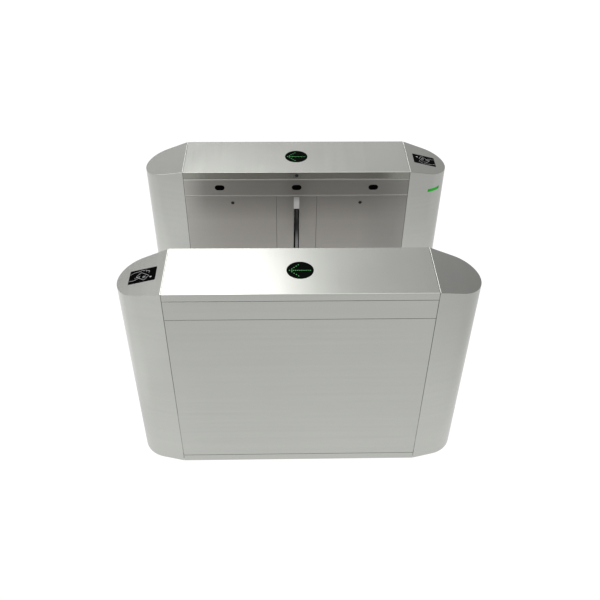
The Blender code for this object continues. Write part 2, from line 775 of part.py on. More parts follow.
def flap_blade():
    """Wing-shaped blade: straight leading edge, top on an arc about the pivot, sloping back."""
    front = FLAP_SETBACK - PIVOT_INSET
    back = HALF_WIDTH - RETURN_DEPTH - FLAP_BACK_GAP - PIVOT_Y
    lead = 90 + math.degrees(math.asin(-front / FLAP_RADIUS))
    trail = 90 - math.degrees(math.asin(back / FLAP_RADIUS))
    centre = (PIVOT_Y, PIVOT_Z)
    foot = PIVOT_Z + FLAP_FOOT
    corner = math.degrees(FLAP_CORNER / FLAP_RADIUS)
    shoulder = PIVOT_Z + math.sqrt(FLAP_RADIUS**2 - front**2) - FLAP_CORNER
    outline = [(PIVOT_Y + front, foot), (PIVOT_Y + front, shoulder)]
    outline += arc(centre, FLAP_RADIUS, lead - corner, trail, 14)
    outline += [(PIVOT_Y + CARRIER_BACK, foot + FLAP_FOOT), (PIVOT_Y + CARRIER_BACK, foot)]
    blade = prism(outline, "x", FLAP_LOW_X, FLAP_HIGH_X)
    return eased(blade, FLAP_EDGE, 2, lambda edge: abs(edge.verts[0].co.x - edge.verts[1].co.x) < GAP)


def flap_carrier():
    """Forked hub that clamps the blade's foot on the shaft."""
    high_z = PIVOT_Z + CARRIER_RISE
    outline = [(PIVOT_Y - CARRIER_FRONT, high_z), (PIVOT_Y + CARRIER_BACK, high_z)]
    outline += arc((PIVOT_Y, PIVOT_Z), CARRIER_RADIUS, 20, -200, 18)
    low, high = FLAP_LOW_X - GAP, FLAP_HIGH_X + GAP
    hub = prism(outline, "x", low - CARRIER_PLATE, high + CARRIER_PLATE)
    fork = block(
        (low, PIVOT_Y - 2 * CARRIER_RISE, PIVOT_Z + FLAP_FOOT - GAP),
        (high, PIVOT_Y + 2 * CARRIER_RISE, PIVOT_Z + 2 * CARRIER_RISE),
    )
    bore = rod("x", (PIVOT_Y, PIVOT_Z), SHAFT_RADIUS + GAP, -SHAFT_REACH, SHAFT_REACH, ROUND_STEPS)
    return cut(hub, fork, bore)


def flap_shaft():
    """Shaft in the two bearings, with a shoulder beside the hub."""
    inner = FLAP_LOW_X - GAP - CARRIER_PLATE - GAP
    shoulder = -CHEEK_GAP / 2 + GAP
    profile = [(-SHAFT_REACH, 0), (-SHAFT_REACH, SHAFT_RADIUS), (shoulder, SHAFT_RADIUS)]
    profile += [(shoulder, SHAFT_SHOULDER), (inner, SHAFT_SHOULDER), (inner, SHAFT_RADIUS)]
    profile += [(SHAFT_REACH, SHAFT_RADIUS), (SHAFT_REACH, 0)]
    return turned(profile, "x", (PIVOT_Y, PIVOT_Z), ROUND_STEPS)


def involute(radius, base):
    """How far an involute flank has turned at a radius."""
    roll = math.sqrt(max((radius / base) ** 2 - 1, 0))
    return roll - math.atan(roll)


def tooth(centre, middle, teeth, addendum):
    """Points round one gear tooth whose middle lies at an angle, in radians."""
    pitch = MODULE * teeth / 2
    base = pitch * math.cos(math.radians(PRESSURE_ANGLE))
    root, tip = pitch - DEDENDUM_SHARE * MODULE, pitch + addendum
    start = max(root, base)
    radii = ([root] if root < base else []) + [start + (tip - start) * k / 2 for k in range(3)]
    half_pitch = (math.pi * MODULE / 2 - BACKLASH / 2) / (2 * pitch)
    flank = [(r, half_pitch + involute(pitch, base) - involute(max(r, base), base)) for r in radii]
    rising = [(r, middle - half) for r, half in flank]
    falling = [(r, middle + half) for r, half in reversed(flank)]
    return [(centre[0] + r * math.cos(a), centre[1] + r * math.sin(a)) for r, a in rising + falling]


def sector_gear():
    """Toothed sector on the flap's shaft, with an opening in its web and a collar."""
    centre = (PIVOT_Y, PIVOT_Z)
    step = 360 / SECTOR_TEETH
    passed = math.ceil(FLAP_SWING / step)
    order = range(-passed - SECTOR_MARGIN_TEETH, SECTOR_MARGIN_TEETH + 1)
    outline = []
    for k in order:
        middle = math.radians(PINION_BEARING + k * step)
        outline += tooth(centre, middle, SECTOR_TEETH, SECTOR_ADDENDUM_SHARE * MODULE)
    first = PINION_BEARING + (order[0] - 1) * step
    last = PINION_BEARING + (order[-1] + 1) * step
    outline += arc(centre, GEAR_HUB, last, first + 360, 16)
    sector = prism(outline, "x", GEAR_X, GEAR_X + GEAR_WIDTH)
    rib = math.degrees(WEB_RIB / WEB_OUTER)
    web = arc(centre, WEB_OUTER, first + rib, last - rib, 10)
    web += arc(centre, WEB_INNER, last - 2 * rib, first + 2 * rib, 6)
    opening = prism(web, "x", GEAR_X - OVERRUN, GEAR_X + GEAR_WIDTH + OVERRUN)
    near = FLAP_HIGH_X + GAP + CARRIER_PLATE + GAP
    collar = rod("x", centre, GEAR_COLLAR, near, CHEEK_GAP / 2 - GAP, ROUND_STEPS)
    bore = rod("x", centre, SHAFT_RADIUS + GAP, -SHAFT_REACH, SHAFT_REACH, ROUND_STEPS)
    return cut(joined(sector, collar), opening, bore)


def pinion():
    """The motor's pinion on its shaft, with a gap between teeth facing the sector."""
    centre = (PINION_Y, PINION_Z)
    step = 360 / PINION_TEETH
    outline = []
    for k in range(PINION_TEETH):
        middle = math.radians(PINION_BEARING + 180 + step / 2 + k * step)
        outline += tooth(centre, middle, PINION_TEETH, MODULE)
    wheel = prism(outline, "x", GEAR_X - PINION_SIDE, GEAR_X + GEAR_WIDTH + PINION_SIDE)
    end = CHEEK_OUT + GAP + BORE_DEPTH - OVERRUN
    shaft = rod("x", centre, PINION_SHAFT, GEAR_X - OVERRUN, end, ROUND_STEPS)
    return joined(wheel, shaft)


def mechanism_frame():
    """Two cheeks on one foot, which hold the bearings and the motor."""
    front, back = -HALF_WIDTH + FOOT_FRONT, -HALF_WIDTH + FOOT_BACK
    shoulder = -HALF_WIDTH + CHEEK_FRONT
    outline = [(back, BASE_FLOOR), (back, BASE_FLOOR + CHEEK_BACK_RISE)]
    outline += arc((PINION_Y, PINION_Z), BOSS_RADIUS, 0, 60, 4)
    outline += arc((PIVOT_Y, PIVOT_Z), BOSS_RADIUS, 30, 180, 10)
    outline += [(shoulder, PIVOT_Z - CHEEK_SHOULDER), (shoulder, CHEEK_SHOULDER)]
    outline += [(front, PLINTH_TOP), (front, BASE_FLOOR)]
    solid = prism(outline, "x", -CHEEK_OUT, CHEEK_OUT)
    inside = CHEEK_GAP / 2
    tunnel = block(
        (-inside, -HALF_WIDTH, BASE_FLOOR + FOOT_PLATE), (inside, HALF_WIDTH, PIVOT_Z + CARRIER_RISE)
    )
    reach = CHEEK_OUT + OVERRUN
    seat = rod("x", (PIVOT_Y, PIVOT_Z), BEARING_RADIUS + GAP, -reach, reach, ROUND_STEPS)
    shaft_hole = rod("x", (PINION_Y, PINION_Z), SHAFT_HOLE, -reach, reach)
    return cut(solid, tunnel, seat, shaft_hole)


def bearing(side):
    """Flanged bearing in a cheek."""
    inner, face = CHEEK_GAP / 2 + GAP, CHEEK_OUT + GAP
    bore = SHAFT_RADIUS + GAP
    profile = [(inner, bore), (inner, BEARING_RADIUS), (face, BEARING_RADIUS), (face, BEARING_FLANGE)]
    profile += [(face + BEARING_RIM, BEARING_FLANGE), (face + BEARING_RIM, bore)]
    return turned([(side * x, radius) for x, radius in profile], "x", (PIVOT_Y, PIVOT_Z), ROUND_STEPS)


def gearmotor():
    """Gearbox bolted to the cheek, with the round motor behind it."""
    face = CHEEK_OUT + GAP
    half = GEARBOX_HALF
    rear = face + GEARBOX_LENGTH
    box = block((face, PINION_Y - half, PINION_Z - half), (rear, PINION_Y + half, PINION_Z + half))
    box = eased(box, BLOCK_EDGE, 2, lambda edge: abs(edge.verts[0].co.x - edge.verts[1].co.x) > GAP)
    end = rear + MOTOR_LENGTH
    profile = [(rear - OVERRUN, 0), (rear - OVERRUN, MOTOR_RADIUS), (end - BLOCK_EDGE, MOTOR_RADIUS)]
    profile += [(end, MOTOR_RADIUS - BLOCK_EDGE), (end, MOTOR_BELL)]
    profile += [(end + MOTOR_BELL_LENGTH, MOTOR_BELL), (end + MOTOR_BELL_LENGTH, 0)]
    motor = turned(profile, "x", (PINION_Y, PINION_Z), ROUND_STEPS)
    bore = rod(
        "x", (PINION_Y, PINION_Z), PINION_SHAFT + GAP, face - OVERRUN, face + BORE_DEPTH, ROUND_STEPS
    )
    return cut(joined(box, motor), bore)


# Electrics


def controller_box():
    """Control board's case, standing on the base, with a raised lid and cable glands."""
    near, far = BOX_END_X, BOX_END_X + BOX_LENGTH
    back, front, top = BOX_OUTER_Y, BOX_OUTER_Y - BOX_DEPTH, BASE_FLOOR + BOX_HEIGHT
    case = block((near, front, BASE_FLOOR), (far, back, top))
    rim = BOX_LID_RIM
    lid = block((near + rim, front - BOX_LID, BASE_FLOOR + rim), (far - rim, front + BOX_LID, top - rim))
    pitch = BOX_LENGTH / GLAND_COUNT
    glands = [
        rod("z", (near + pitch * (k + 0.5), (front + back) / 2), GLAND_RADIUS, top - OVERRUN,
            top + GLAND_HEIGHT, 6)
        for k in range(GLAND_COUNT)
    ]
    return joined(case, lid, *glands)


def power_supply():
    """Flat metal power supply on the base, with vents cut in its lid."""
    near, far = SUPPLY_END_X, SUPPLY_END_X + SUPPLY_LENGTH
    half, top = SUPPLY_WIDTH / 2, BASE_FLOOR + SUPPLY_HEIGHT
    case = block((near, -half, BASE_FLOOR), (far, half, top))
    case = eased(case, BLOCK_EDGE, 1, lambda edge: min(vert.co.z for vert in edge.verts) > BASE_FLOOR)
    start = (near + far) / 2 - VENT_PITCH * (VENT_COUNT - 1) / 2
    vents = [
        block(
            (start + k * VENT_PITCH - VENT_WIDTH / 2, -VENT_LENGTH / 2, top - VENT_DEPTH),
            (start + k * VENT_PITCH + VENT_WIDTH / 2, VENT_LENGTH / 2, top + OVERRUN),
        )
        for k in range(VENT_COUNT)
    ]
    return cut(case, *vents)


# Assembly

for thing in list(bpy.data.objects):
    bpy.data.objects.remove(thing)

FIXED = (0, 0, 0)
FLAP_AXIS = (0, PIVOT_Y, PIVOT_Z)
PINION_AXIS = (0, PINION_Y, PINION_Z)
COVER_AXIS = (0, HINGE_Y, HINGE_Z)
DOOR_AXIS = (0, DOOR_PIN_Y, DOOR_PIN_Z)

# Each piece of a cabinet: name, shape, finish and the point that it turns about
PIECES = [
    ("base_frame", base_frame, "frame_steel", FIXED),
    ("reader_end_housing", reader_end_housing, "brushed_steel", FIXED),
    ("plain_end_housing", plain_end_housing, "brushed_steel", FIXED),
    ("outer_panel", outer_panel, "brushed_steel", FIXED),
    ("outer_rail", outer_rail, "brushed_steel", FIXED),
    ("sensor_rail", sensor_rail, "brushed_steel", FIXED),
    ("sensor_lens_strip", sensor_lens_strip, "black_acrylic", FIXED),
    ("slot_panel", slot_panel, "brushed_steel", FIXED),
    ("slot_cap", slot_cap, "bright_steel", FIXED),
    ("inner_frame", inner_frame, "frame_steel", FIXED),
    ("reader_window", reader_window, "black_acrylic", FIXED),
    ("light_bar", light_bar, "green_lens", FIXED),
    ("cover_hinge", cover_hinge, "frame_steel", FIXED),
    ("mechanism_frame", mechanism_frame, "frame_steel", FIXED),
    ("bearing_a", lambda: bearing(-1), "bright_steel", FIXED),
    ("bearing_b", lambda: bearing(1), "bright_steel", FIXED),
    ("gearmotor", gearmotor, "motor_black", FIXED),
    ("top_cover", top_cover, "brushed_steel", COVER_AXIS),
    ("arrow_display", arrow_display, "black_acrylic", COVER_AXIS),
    ("cover_lock", cover_lock, "bright_steel", (0, CAM_Y, COVER_LOCK_Z)),
    ("door_a", lambda: door(-1), "brushed_steel", DOOR_AXIS),
    ("door_b", lambda: door(1), "brushed_steel", DOOR_AXIS),
    ("door_lock_a", lambda: door_lock(-1), "bright_steel", (-LOCK_FROM_MIDDLE, CAM_Y, DOOR_LOCK_Z)),
    ("door_lock_b", lambda: door_lock(1), "bright_steel", (LOCK_FROM_MIDDLE, CAM_Y, DOOR_LOCK_Z)),
    ("flap_blade", flap_blade, "grey_plastic", FLAP_AXIS),
    ("flap_carrier", flap_carrier, "frame_steel", FLAP_AXIS),
    ("flap_shaft", flap_shaft, "bright_steel", FLAP_AXIS),
    ("sector_gear", sector_gear, "gear_steel", FLAP_AXIS),
    ("pinion", pinion, "gear_steel", PINION_AXIS),
]

# The control case and the power supply serve both cabinets from the right one
ELECTRICS = [
    ("controller_box", controller_box, "box_grey", FIXED),
    ("power_supply", power_supply, "supply_aluminium", FIXED),
]


def finished_mesh(name, shape, material, origin):
    """The shape as a mesh about its own origin, shaded smooth up to its sharp edges."""
    bmesh.ops.translate(shape, vec=[-value for value in origin], verts=shape.verts)
    mesh = bpy.data.meshes.new(name)
    shape.to_mesh(mesh)
    shape.free()
    mesh.materials.clear()
    mesh.materials.append(finish(material))
    mesh.shade_smooth()
    mesh.set_sharp_from_angle(angle=math.radians(30))
    return mesh


def placed(name, mesh, origin, cabinet):
    """A piece set in its cabinet, with its origin on its joint's axis."""
    piece = bpy.data.objects.new(name, mesh)
    bpy.context.scene.collection.objects.link(piece)
    piece.parent = cabinet
    piece.location = origin


cabinets = {}
for side, place, turn in (("right", CABINET_Y, 0), ("left", -CABINET_Y, math.pi)):
    cabinet = bpy.data.objects.new(f"{side}_cabinet", None)
    bpy.context.scene.collection.objects.link(cabinet)
    cabinet.location = (0, place, 0)
    cabinet.rotation_euler = (0, 0, turn)
    cabinets[side] = cabinet

for name, make, material, origin in PIECES:
    mesh = finished_mesh(name, make(), material, origin)
    for side, cabinet in cabinets.items():
        placed(f"{side}_{name}", mesh, origin, cabinet)

for name, make, material, origin in ELECTRICS:
    placed(name, finished_mesh(name, make(), material, origin), origin, cabinets["right"])
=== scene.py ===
# %% [markdown]
# # A flap barrier turnstile, dressed for a photograph
#
# The gate is two equal steel cabinets with a lane between them. Its shapes come packed, as named
# parts that stay where they are. This lesson gives them their surfaces, and adds what is too small
# or too soft for them: lit dots, a pictogram, bolts and screws.

import json
import math

import bpy
from mathutils import Matrix, Vector


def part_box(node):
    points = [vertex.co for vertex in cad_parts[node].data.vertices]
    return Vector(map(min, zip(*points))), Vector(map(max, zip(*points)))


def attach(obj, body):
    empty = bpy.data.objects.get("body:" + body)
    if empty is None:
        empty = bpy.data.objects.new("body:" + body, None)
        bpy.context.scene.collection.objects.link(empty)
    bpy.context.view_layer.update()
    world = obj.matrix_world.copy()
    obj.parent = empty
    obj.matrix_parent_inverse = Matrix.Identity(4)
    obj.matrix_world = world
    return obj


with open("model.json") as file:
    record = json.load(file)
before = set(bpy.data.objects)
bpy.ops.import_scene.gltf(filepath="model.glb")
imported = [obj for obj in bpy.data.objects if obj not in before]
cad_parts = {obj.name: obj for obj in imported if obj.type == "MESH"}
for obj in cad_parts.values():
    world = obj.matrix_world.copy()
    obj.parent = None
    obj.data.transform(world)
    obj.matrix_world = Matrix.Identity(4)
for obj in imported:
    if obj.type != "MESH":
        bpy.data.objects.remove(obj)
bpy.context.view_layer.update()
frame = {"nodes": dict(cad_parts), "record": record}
nodes = frame["nodes"]
SIDES = ("right", "left")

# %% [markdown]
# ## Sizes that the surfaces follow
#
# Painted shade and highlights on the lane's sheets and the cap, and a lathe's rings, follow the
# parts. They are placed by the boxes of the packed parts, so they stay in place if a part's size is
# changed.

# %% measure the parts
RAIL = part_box("right_sensor_rail")
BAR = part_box("right_light_bar")
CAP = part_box("right_slot_cap")
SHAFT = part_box("right_flap_shaft")
PIVOT_Y = (SHAFT[0].y + SHAFT[1].y) / 2
PIVOT_Z = (SHAFT[0].z + SHAFT[1].z) / 2
CABINET_Y = sum(corner.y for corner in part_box("right_base_frame")) / 2
print("cabinets at y", round(CABINET_Y, 4), "and", round(-CABINET_Y, 4))
print("flap's shaft at y", round(PIVOT_Y, 4), "z", round(PIVOT_Z, 4))

# %% [markdown]
# ## The camera
#
# The view is from a few steps in front of the nearer cabinet, and looks down on it. The place and
# the lens were solved from the corners of both cabinets, so edges land where they do in the
# photograph.

# %% place the camera
CAMERA_PLACE = Vector((-0.0643, -2.6551, 2.7694))
CAMERA_YAW, CAMERA_PITCH, CAMERA_ROLL = 0.0292, 0.7151, 0.0120
LENS_MM, SENSOR_MM = 45.11, 36.0


def camera_turn(yaw, pitch, roll):
    """The camera's turn from a heading, a look down and a tilt, in radians."""
    level_share = math.cos(pitch)
    ahead = Vector((math.sin(yaw) * level_share, math.cos(yaw) * level_share, -math.sin(pitch)))
    right = Vector((math.cos(yaw), -math.sin(yaw), 0))
    up = right.cross(ahead)
    level = Matrix((right, up, -ahead)).transposed()
    return level @ Matrix.Rotation(roll, 3, "Z")


lens = bpy.data.cameras.new("camera")
lens.lens = LENS_MM
lens.sensor_width = SENSOR_MM
camera = bpy.data.objects.new("camera", lens)
camera_turned = camera_turn(CAMERA_YAW, CAMERA_PITCH, CAMERA_ROLL).to_4x4()
camera.matrix_world = Matrix.Translation(CAMERA_PLACE) @ camera_turned
bpy.context.scene.collection.objects.link(camera)
bpy.context.scene.camera = camera
print("camera at", tuple(round(c, 2) for c in CAMERA_PLACE))

# %% [markdown]
# ## Arithmetic with shader sockets
#
# A shader tree is arithmetic drawn with boxes. The first class below lets a script write that
# arithmetic as Python does, the second adds any other node in one call, and the third is one
# material with its main shader. Colours and vectors have their own nodes, so they aren't mixed by
# arithmetic.

# %% a socket that Python's operators work on
def put(tree, slot, value):
    """Links a wrapped socket to an input, or sets a plain value on it."""
    if isinstance(value, Wire):
        tree.links.new(value.socket, slot)
    else:
        slot.default_value = value


class Wire:
    """An output socket that ordinary arithmetic can be done with."""

    def __init__(self, tree, socket):
        self.tree = tree
        self.socket = socket

    def math(self, operation, *values):
        """A Math node on these values."""
        made = self.tree.nodes.new("ShaderNodeMath")
        made.operation = operation
        for slot, value in zip(made.inputs, values):
            put(self.tree, slot, value)
        return Wire(self.tree, made.outputs[0])

    def __add__(self, other):
        return self.math("ADD", self, other)

    def __radd__(self, other):
        return self.math("ADD", other, self)

    def __sub__(self, other):
        return self.math("SUBTRACT", self, other)

    def __rsub__(self, other):
        return self.math("SUBTRACT", other, self)

    def __mul__(self, other):
        return self.math("MULTIPLY", self, other)

    def __rmul__(self, other):
        return self.math("MULTIPLY", other, self)

    def __truediv__(self, other):
        return self.math("DIVIDE", self, other)

    def __rtruediv__(self, other):
        return self.math("DIVIDE", other, self)

    def __pow__(self, other):
        return self.math("POWER", self, other)

    def __rpow__(self, other):
        return self.math("POWER", other, self)

    def __neg__(self):
        return self.math("MULTIPLY", self, -1.0)

    def __abs__(self):
        return self.math("ABSOLUTE", self)

    def sine(self):
        """The sine of the value, in radians."""
        return self.math("SINE", self)

    def clamped(self):
        """The value held between 0 and 1."""
        return self.math("MINIMUM", self.math("MAXIMUM", self, 0.0), 1.0)

    def ramp(self, low, high):
        """0 below low, 1 above high, and a straight rise between them."""
        return ((self - low) / (high - low)).clamped()

    def soft_rise(self, middle, width):
        """A smooth rise from 0 to 1 that passes a half at the middle."""
        return 1.0 / (1.0 + self.math("EXPONENT", (middle - self) / width))


print("reflected:", [name.strip("_") for name in vars(Wire) if name.startswith("__r")])

# %% a shader tree, and a material
class Shading:
    """A shader tree, of a material or of the sky, that is filled in by its methods."""

    def __init__(self, tree):
        self.tree = tree

    def node(self, kind, settings=None, inputs=None, output=0):
        """Any node of a kind, with its settings and its inputs, as the output asked for."""
        made = self.tree.nodes.new(kind)
        for name, value in (settings or {}).items():
            setattr(made, name, value)
        for name, value in (inputs or {}).items():
            put(self.tree, made.inputs[name], value)
        return Wire(self.tree, made.outputs[output])

    def place(self):
        """Where a point lies on the object, in metres."""
        return self.node("ShaderNodeTexCoord", output="Object")

    def part_of(self, vector, axis):
        """One of the three numbers of a vector."""
        number = "XYZ".index(axis)
        return self.node("ShaderNodeSeparateXYZ", inputs={"Vector": vector}, output=number)

    def stretched(self, vector, factors):
        """A vector times three factors."""
        return self.node("ShaderNodeVectorMath", {"operation": "MULTIPLY"}, {0: vector, 1: factors})

    def noise(self, vector, scale, detail=2.0, roughness=0.5):
        """Soft random values round 0.5."""
        return self.node(
            "ShaderNodeTexNoise",
            inputs={"Vector": vector, "Scale": scale, "Detail": detail, "Roughness": roughness},
        )

    def mixed(self, factor, one, two):
        """A colour between two colours."""
        return self.node(
            "ShaderNodeMix", {"data_type": "RGBA"}, {"Factor": factor, 6: one, 7: two}, output=2
        )

    def bumped(self, height, distance, strength=0.4, under=None):
        """A normal that leans as a height in 0 to 1 does, over a depth in metres."""
        inputs = {"Height": height, "Distance": distance, "Strength": strength}
        if under:
            inputs["Normal"] = under
        return self.node("ShaderNodeBump", inputs=inputs)


class Paint(Shading):
    """One material and its main shader."""

    def __init__(self, name):
        self.material = bpy.data.materials.new(name)
        self.material.use_nodes = True
        super().__init__(self.material.node_tree)
        self.shader = self.tree.nodes["Principled BSDF"]

    def finish(self, **inputs):
        """Sets the shader's inputs, with _ for a space in a name, and returns the material."""
        for name, value in inputs.items():
            put(self.tree, self.shader.inputs[name.replace("_", " ")], value)
        return self.material


NEUTRAL = (1.0, 1.0, 1.0)


def grey(level, tint=NEUTRAL):
    """A grey with a tint, as a colour."""
    return (level * tint[0], level * tint[1], level * tint[2], 1.0)


BLACK, WHITE = grey(0.0), grey(1.0)
print("one call each:", [name for name in vars(Shading) if not name.startswith("_")])

# %% [markdown]
# ## Brushed stainless steel
#
# The sheets are ground with a belt before they are cut and folded, so each carries fine parallel
# scratches. Under a wide light they read as faint streaks along the belt's path. Two stretched
# noises make them: a fine one for the scratches, and a coarse one for the bands between passes.
# Hands and cloths leave wide, soft patches that only change how sharp a reflection is.
#
# Shade and light are painted in too. A painted shade darkens the lane's sheets towards the top,
# beside the slot and at the right, and the sensor rail's folded edges carry a painted highlight.
# The walls get a painted shade towards the top, and the covers' upright lips get one too. Each is a
# share of the tone, worked out from a point's place. Beside a cover's end the falling top is rolled
# down in a narrow strip, which leans the normal instead.

# %% painted shade and highlight on the lane's sheets
LANE_SHADE_DARK, LANE_SHADE_RISE, LANE_SHADE_ENDS = 0.34, (0.715, 0.85), (-0.52, -0.42)
SLOT_SHADE_WIDTH, SLOT_SHADE_DARK, SLOT_SHADE_RISE = 0.05, 0.18, (0.60, 0.80)
RIGHT_SHADE_SPAN, RIGHT_SHADE_DARK, RIGHT_SHADE_LOW_DARK = (0.30, 0.46), 0.08, 0.16
# The sensor rail's folded edges get a painted highlight.
RAIL_EDGE, RAIL_EDGE_SOFT, RAIL_HIGHLIGHT = 0.006, 0.8, 0.45
RAIL_FOOT = 0.001


def lane_shade(x, z):
    """How much of the tone a painted shade leaves, up the lane's sheets, by the slot and at the
    right.
    """
    rise = z.ramp(*LANE_SHADE_RISE)
    upper = rise * x.ramp(*LANE_SHADE_ENDS) * LANE_SHADE_DARK
    by_slot = math.e ** (-(x * x) / SLOT_SHADE_WIDTH ** 2) * z.ramp(*SLOT_SHADE_RISE) * SLOT_SHADE_DARK
    at_right = x.ramp(*RIGHT_SHADE_SPAN) * (RIGHT_SHADE_DARK + (1.0 - rise) * RIGHT_SHADE_LOW_DARK)
    return (1.0 - upper) * (1.0 - by_slot) * (1.0 - at_right)


def rail_edge_highlight(z):
    """How much a painted highlight brightens the sensor rail's folded edges."""
    middle, half = (RAIL[0].z + RAIL[1].z) / 2, (RAIL[1].z - RAIL[0].z) / 2
    edge = abs(z - middle).ramp(half - RAIL_EDGE, half - RAIL_EDGE * RAIL_EDGE_SOFT)
    return edge * z.ramp(RAIL[0].z - RAIL_FOOT, RAIL[0].z) * RAIL_HIGHLIGHT


print("sensor rail from", round(RAIL[0].z, 3), "to", round(RAIL[1].z, 3), "m")

# %% the rolled strip beside a cover's end
SEAM_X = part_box("right_top_cover")[1].x
STRIP_WIDTH, STRIP_SOFT = 0.004, 0.7
STRIP_LEAN, STRIP_TURN, STRIP_NOD = -0.145, -0.035, -0.085
STRIP_FACING = (0.90, 0.94)


def rolled(paint, x):
    """The surface's normal, with a fixed lean on the rolled strip beside a top's seam."""
    plain = paint.node("ShaderNodeNewGeometry", output="Normal")
    strip = 1.0 - (abs(x) - SEAM_X).ramp(STRIP_WIDTH * STRIP_SOFT, STRIP_WIDTH)
    strip = strip * paint.part_of(plain, "Z").ramp(*STRIP_FACING)
    lean = STRIP_LEAN + x.math("SIGN", x) * STRIP_TURN - paint.part_of(plain, "X")
    push = paint.node("ShaderNodeCombineXYZ", inputs={"X": strip * lean, "Y": strip * STRIP_NOD})
    total = paint.node("ShaderNodeVectorMath", {"operation": "ADD"}, {0: plain, 1: push})
    return paint.node("ShaderNodeVectorMath", {"operation": "NORMALIZE"}, {0: total})


print("strip from x", round(SEAM_X, 3), "to", round(SEAM_X + STRIP_WIDTH, 3), "m")

# %% the steel
STEEL_TINT = (0.986, 1.0, 0.939)
LANE_TINT = (1.025, 1.0, 0.960)
FINE_LINES, BAND_LINES = 900.0, 60.0
ALONG_SCRATCH, ALONG_BAND = 5.0, 1.0
FINE_SHARE, PATCH_SHARE = 0.6, 0.10
CONTRAST, TONE_LOW, TONE_HIGH = 0.16, 0.82, 1.18
SHEEN_DRIFT, SCRATCH_DEPTH = 0.06, 0.00002
UPWARD, WALL_SHADE_RISE = (0.4, 0.6), (0.10, 0.95)
LIP_DEPTH, LIP_SHADE, OUTER_LIP_SHADE = 0.002, 0.22, 0.08


def brushed_steel(name, tint=STEEL_TINT, base=0.60, roughness=0.18,
                  tops_across=False, lane_shaded=False, has_strip=False, wall_shade=None):
    """Steel with level scratches on its walls; its tops may carry them across the cabinet.

    One argument holds three shares of a painted shade, darker towards the top: on all walls, how
    much more on the left, and how much more on the far cabinet's walls, where it counts twice on
    the left.
    """
    paint = Paint(name)
    place = paint.place()
    x, y, height = [paint.part_of(place, axis) for axis in "XYZ"]
    normal = paint.node("ShaderNodeTexCoord", output="Normal")
    upward = paint.part_of(normal, "Z").ramp(*UPWARD)
    quick = height + (x - height) * upward if tops_across else height

    def lines(per_metre, along):
        """Noise that changes quickly across the scratches and slowly along them."""
        axes = {"X": quick * per_metre, "Y": x * along, "Z": y * along}
        return paint.noise(paint.node("ShaderNodeCombineXYZ", inputs=axes), scale=1.0)

    fine, bands = lines(FINE_LINES, ALONG_SCRATCH), lines(BAND_LINES, ALONG_BAND)
    patches = paint.noise(place, scale=5.0, detail=4.0, roughness=0.6)
    tone = ((fine - 0.5) * FINE_SHARE + (bands - 0.5)) * CONTRAST + 0.5
    tone = tone + (patches - 0.5) * PATCH_SHARE
    colour = paint.mixed(tone.clamped(), grey(base * TONE_LOW, tint), grey(base * TONE_HIGH, tint))
    # Painted shade, darker towards the top of the walls, more on the left and on the far cabinet.
    if wall_shade:
        on_all, on_left, on_far = wall_shade
        left = x.math("LESS_THAN", x, 0.0)
        far = y.math("GREATER_THAN", y, 0.0) * (1.0 - upward)
        share = height.ramp(*WALL_SHADE_RISE) * (on_all + left * on_left + far * (left + 1.0) * on_far)
        colour = paint.mixed(share, colour, BLACK)
    # Painted shade up the lane's sheets, and a painted highlight on the sensor rail's edges.
    if lane_shaded:
        colour = paint.mixed(lane_shade(x, height), BLACK, colour)
        colour = paint.mixed(rail_edge_highlight(height), colour, grey(1.0, tint))
    # Painted shade on the covers' upright lips, darker on the lane's side.
    if tops_across:
        lip = 1.0 - abs(y).ramp(RAIL[0].y + LIP_DEPTH, RAIL[0].y + LIP_DEPTH * 2)
        share = (OUTER_LIP_SHADE + lip * (LIP_SHADE - OUTER_LIP_SHADE)) * (1.0 - upward)
        colour = paint.mixed(share, colour, BLACK)
    under = rolled(paint, x) if has_strip else None
    return paint.finish(
        Base_Color=colour,
        Metallic=1.0,
        Roughness=(roughness + (patches + fine - 1.0) * SHEEN_DRIFT).clamped(),
        Normal=paint.bumped(fine, SCRATCH_DEPTH, under=under),
    )


steel_level = brushed_steel("steel_brushed_level", base=0.625, wall_shade=(0.12, 0.0, 0.0))
steel_lane = brushed_steel("steel_brushed_lane", LANE_TINT, base=0.59, roughness=0.36, lane_shaded=True)
steel_across = brushed_steel("steel_brushed_across", tops_across=True)
steel_end = brushed_steel("steel_brushed_end", base=0.645, has_strip=True,
                          wall_shade=(0.07, 0.09, 0.06))
print("steel nodes:", len(steel_level.node_tree.nodes))


# %% [markdown]
# ## Metals inside and small metals
#
# Inside the cabinets, folded sheet and machined steel are duller than the skin, and hold some
# grease or dust. Locks and caps are small and take more wear, and the slot's cap is painted darker
# towards its top as shade. One function with a base tone and a sheen serves them all, because they
# differ in little else. The gears were turned on a lathe, so they get their own, with rings about
# the flap's shaft.

# %% metals inside
DULL_LOW, DULL_HIGH = 0.72, 1.2
STAINED, STAIN_SHEEN, SHADE_SHARE = (0.52, 0.72), 0.5, 0.4
SPECK_SHEEN, SPECK_DEPTH = 0.15, 0.00004


def dull_metal(name, base, roughness, stain=0.25, tint=NEUTRAL, shaded_between=None):
    """Plain metal whose tone and sheen drift, with darker stains, and a painted shade that rises
    between two heights.
    """
    paint = Paint(name)
    place = paint.place()
    drift = paint.noise(place, scale=9.0, detail=5.0, roughness=0.6)
    speck = paint.noise(place, scale=240.0, detail=3.0, roughness=0.7)
    stains = drift.ramp(*STAINED) * stain
    tone = (0.5 + (speck - 0.5) * 0.5 + (drift - 0.5) * 0.5 - stains).clamped()
    colour = paint.mixed(tone, grey(base * DULL_LOW, tint), grey(base * DULL_HIGH, tint))
    if shaded_between:
        colour = paint.mixed(paint.part_of(place, "Z").ramp(*shaded_between) * SHADE_SHARE, colour, BLACK)
    return paint.finish(
        Base_Color=colour,
        Metallic=1.0,
        Roughness=(roughness + stains * STAIN_SHEEN + (speck - 0.5) * SPECK_SHEEN).clamped(),
        Normal=paint.bumped(speck, SPECK_DEPTH),
    )
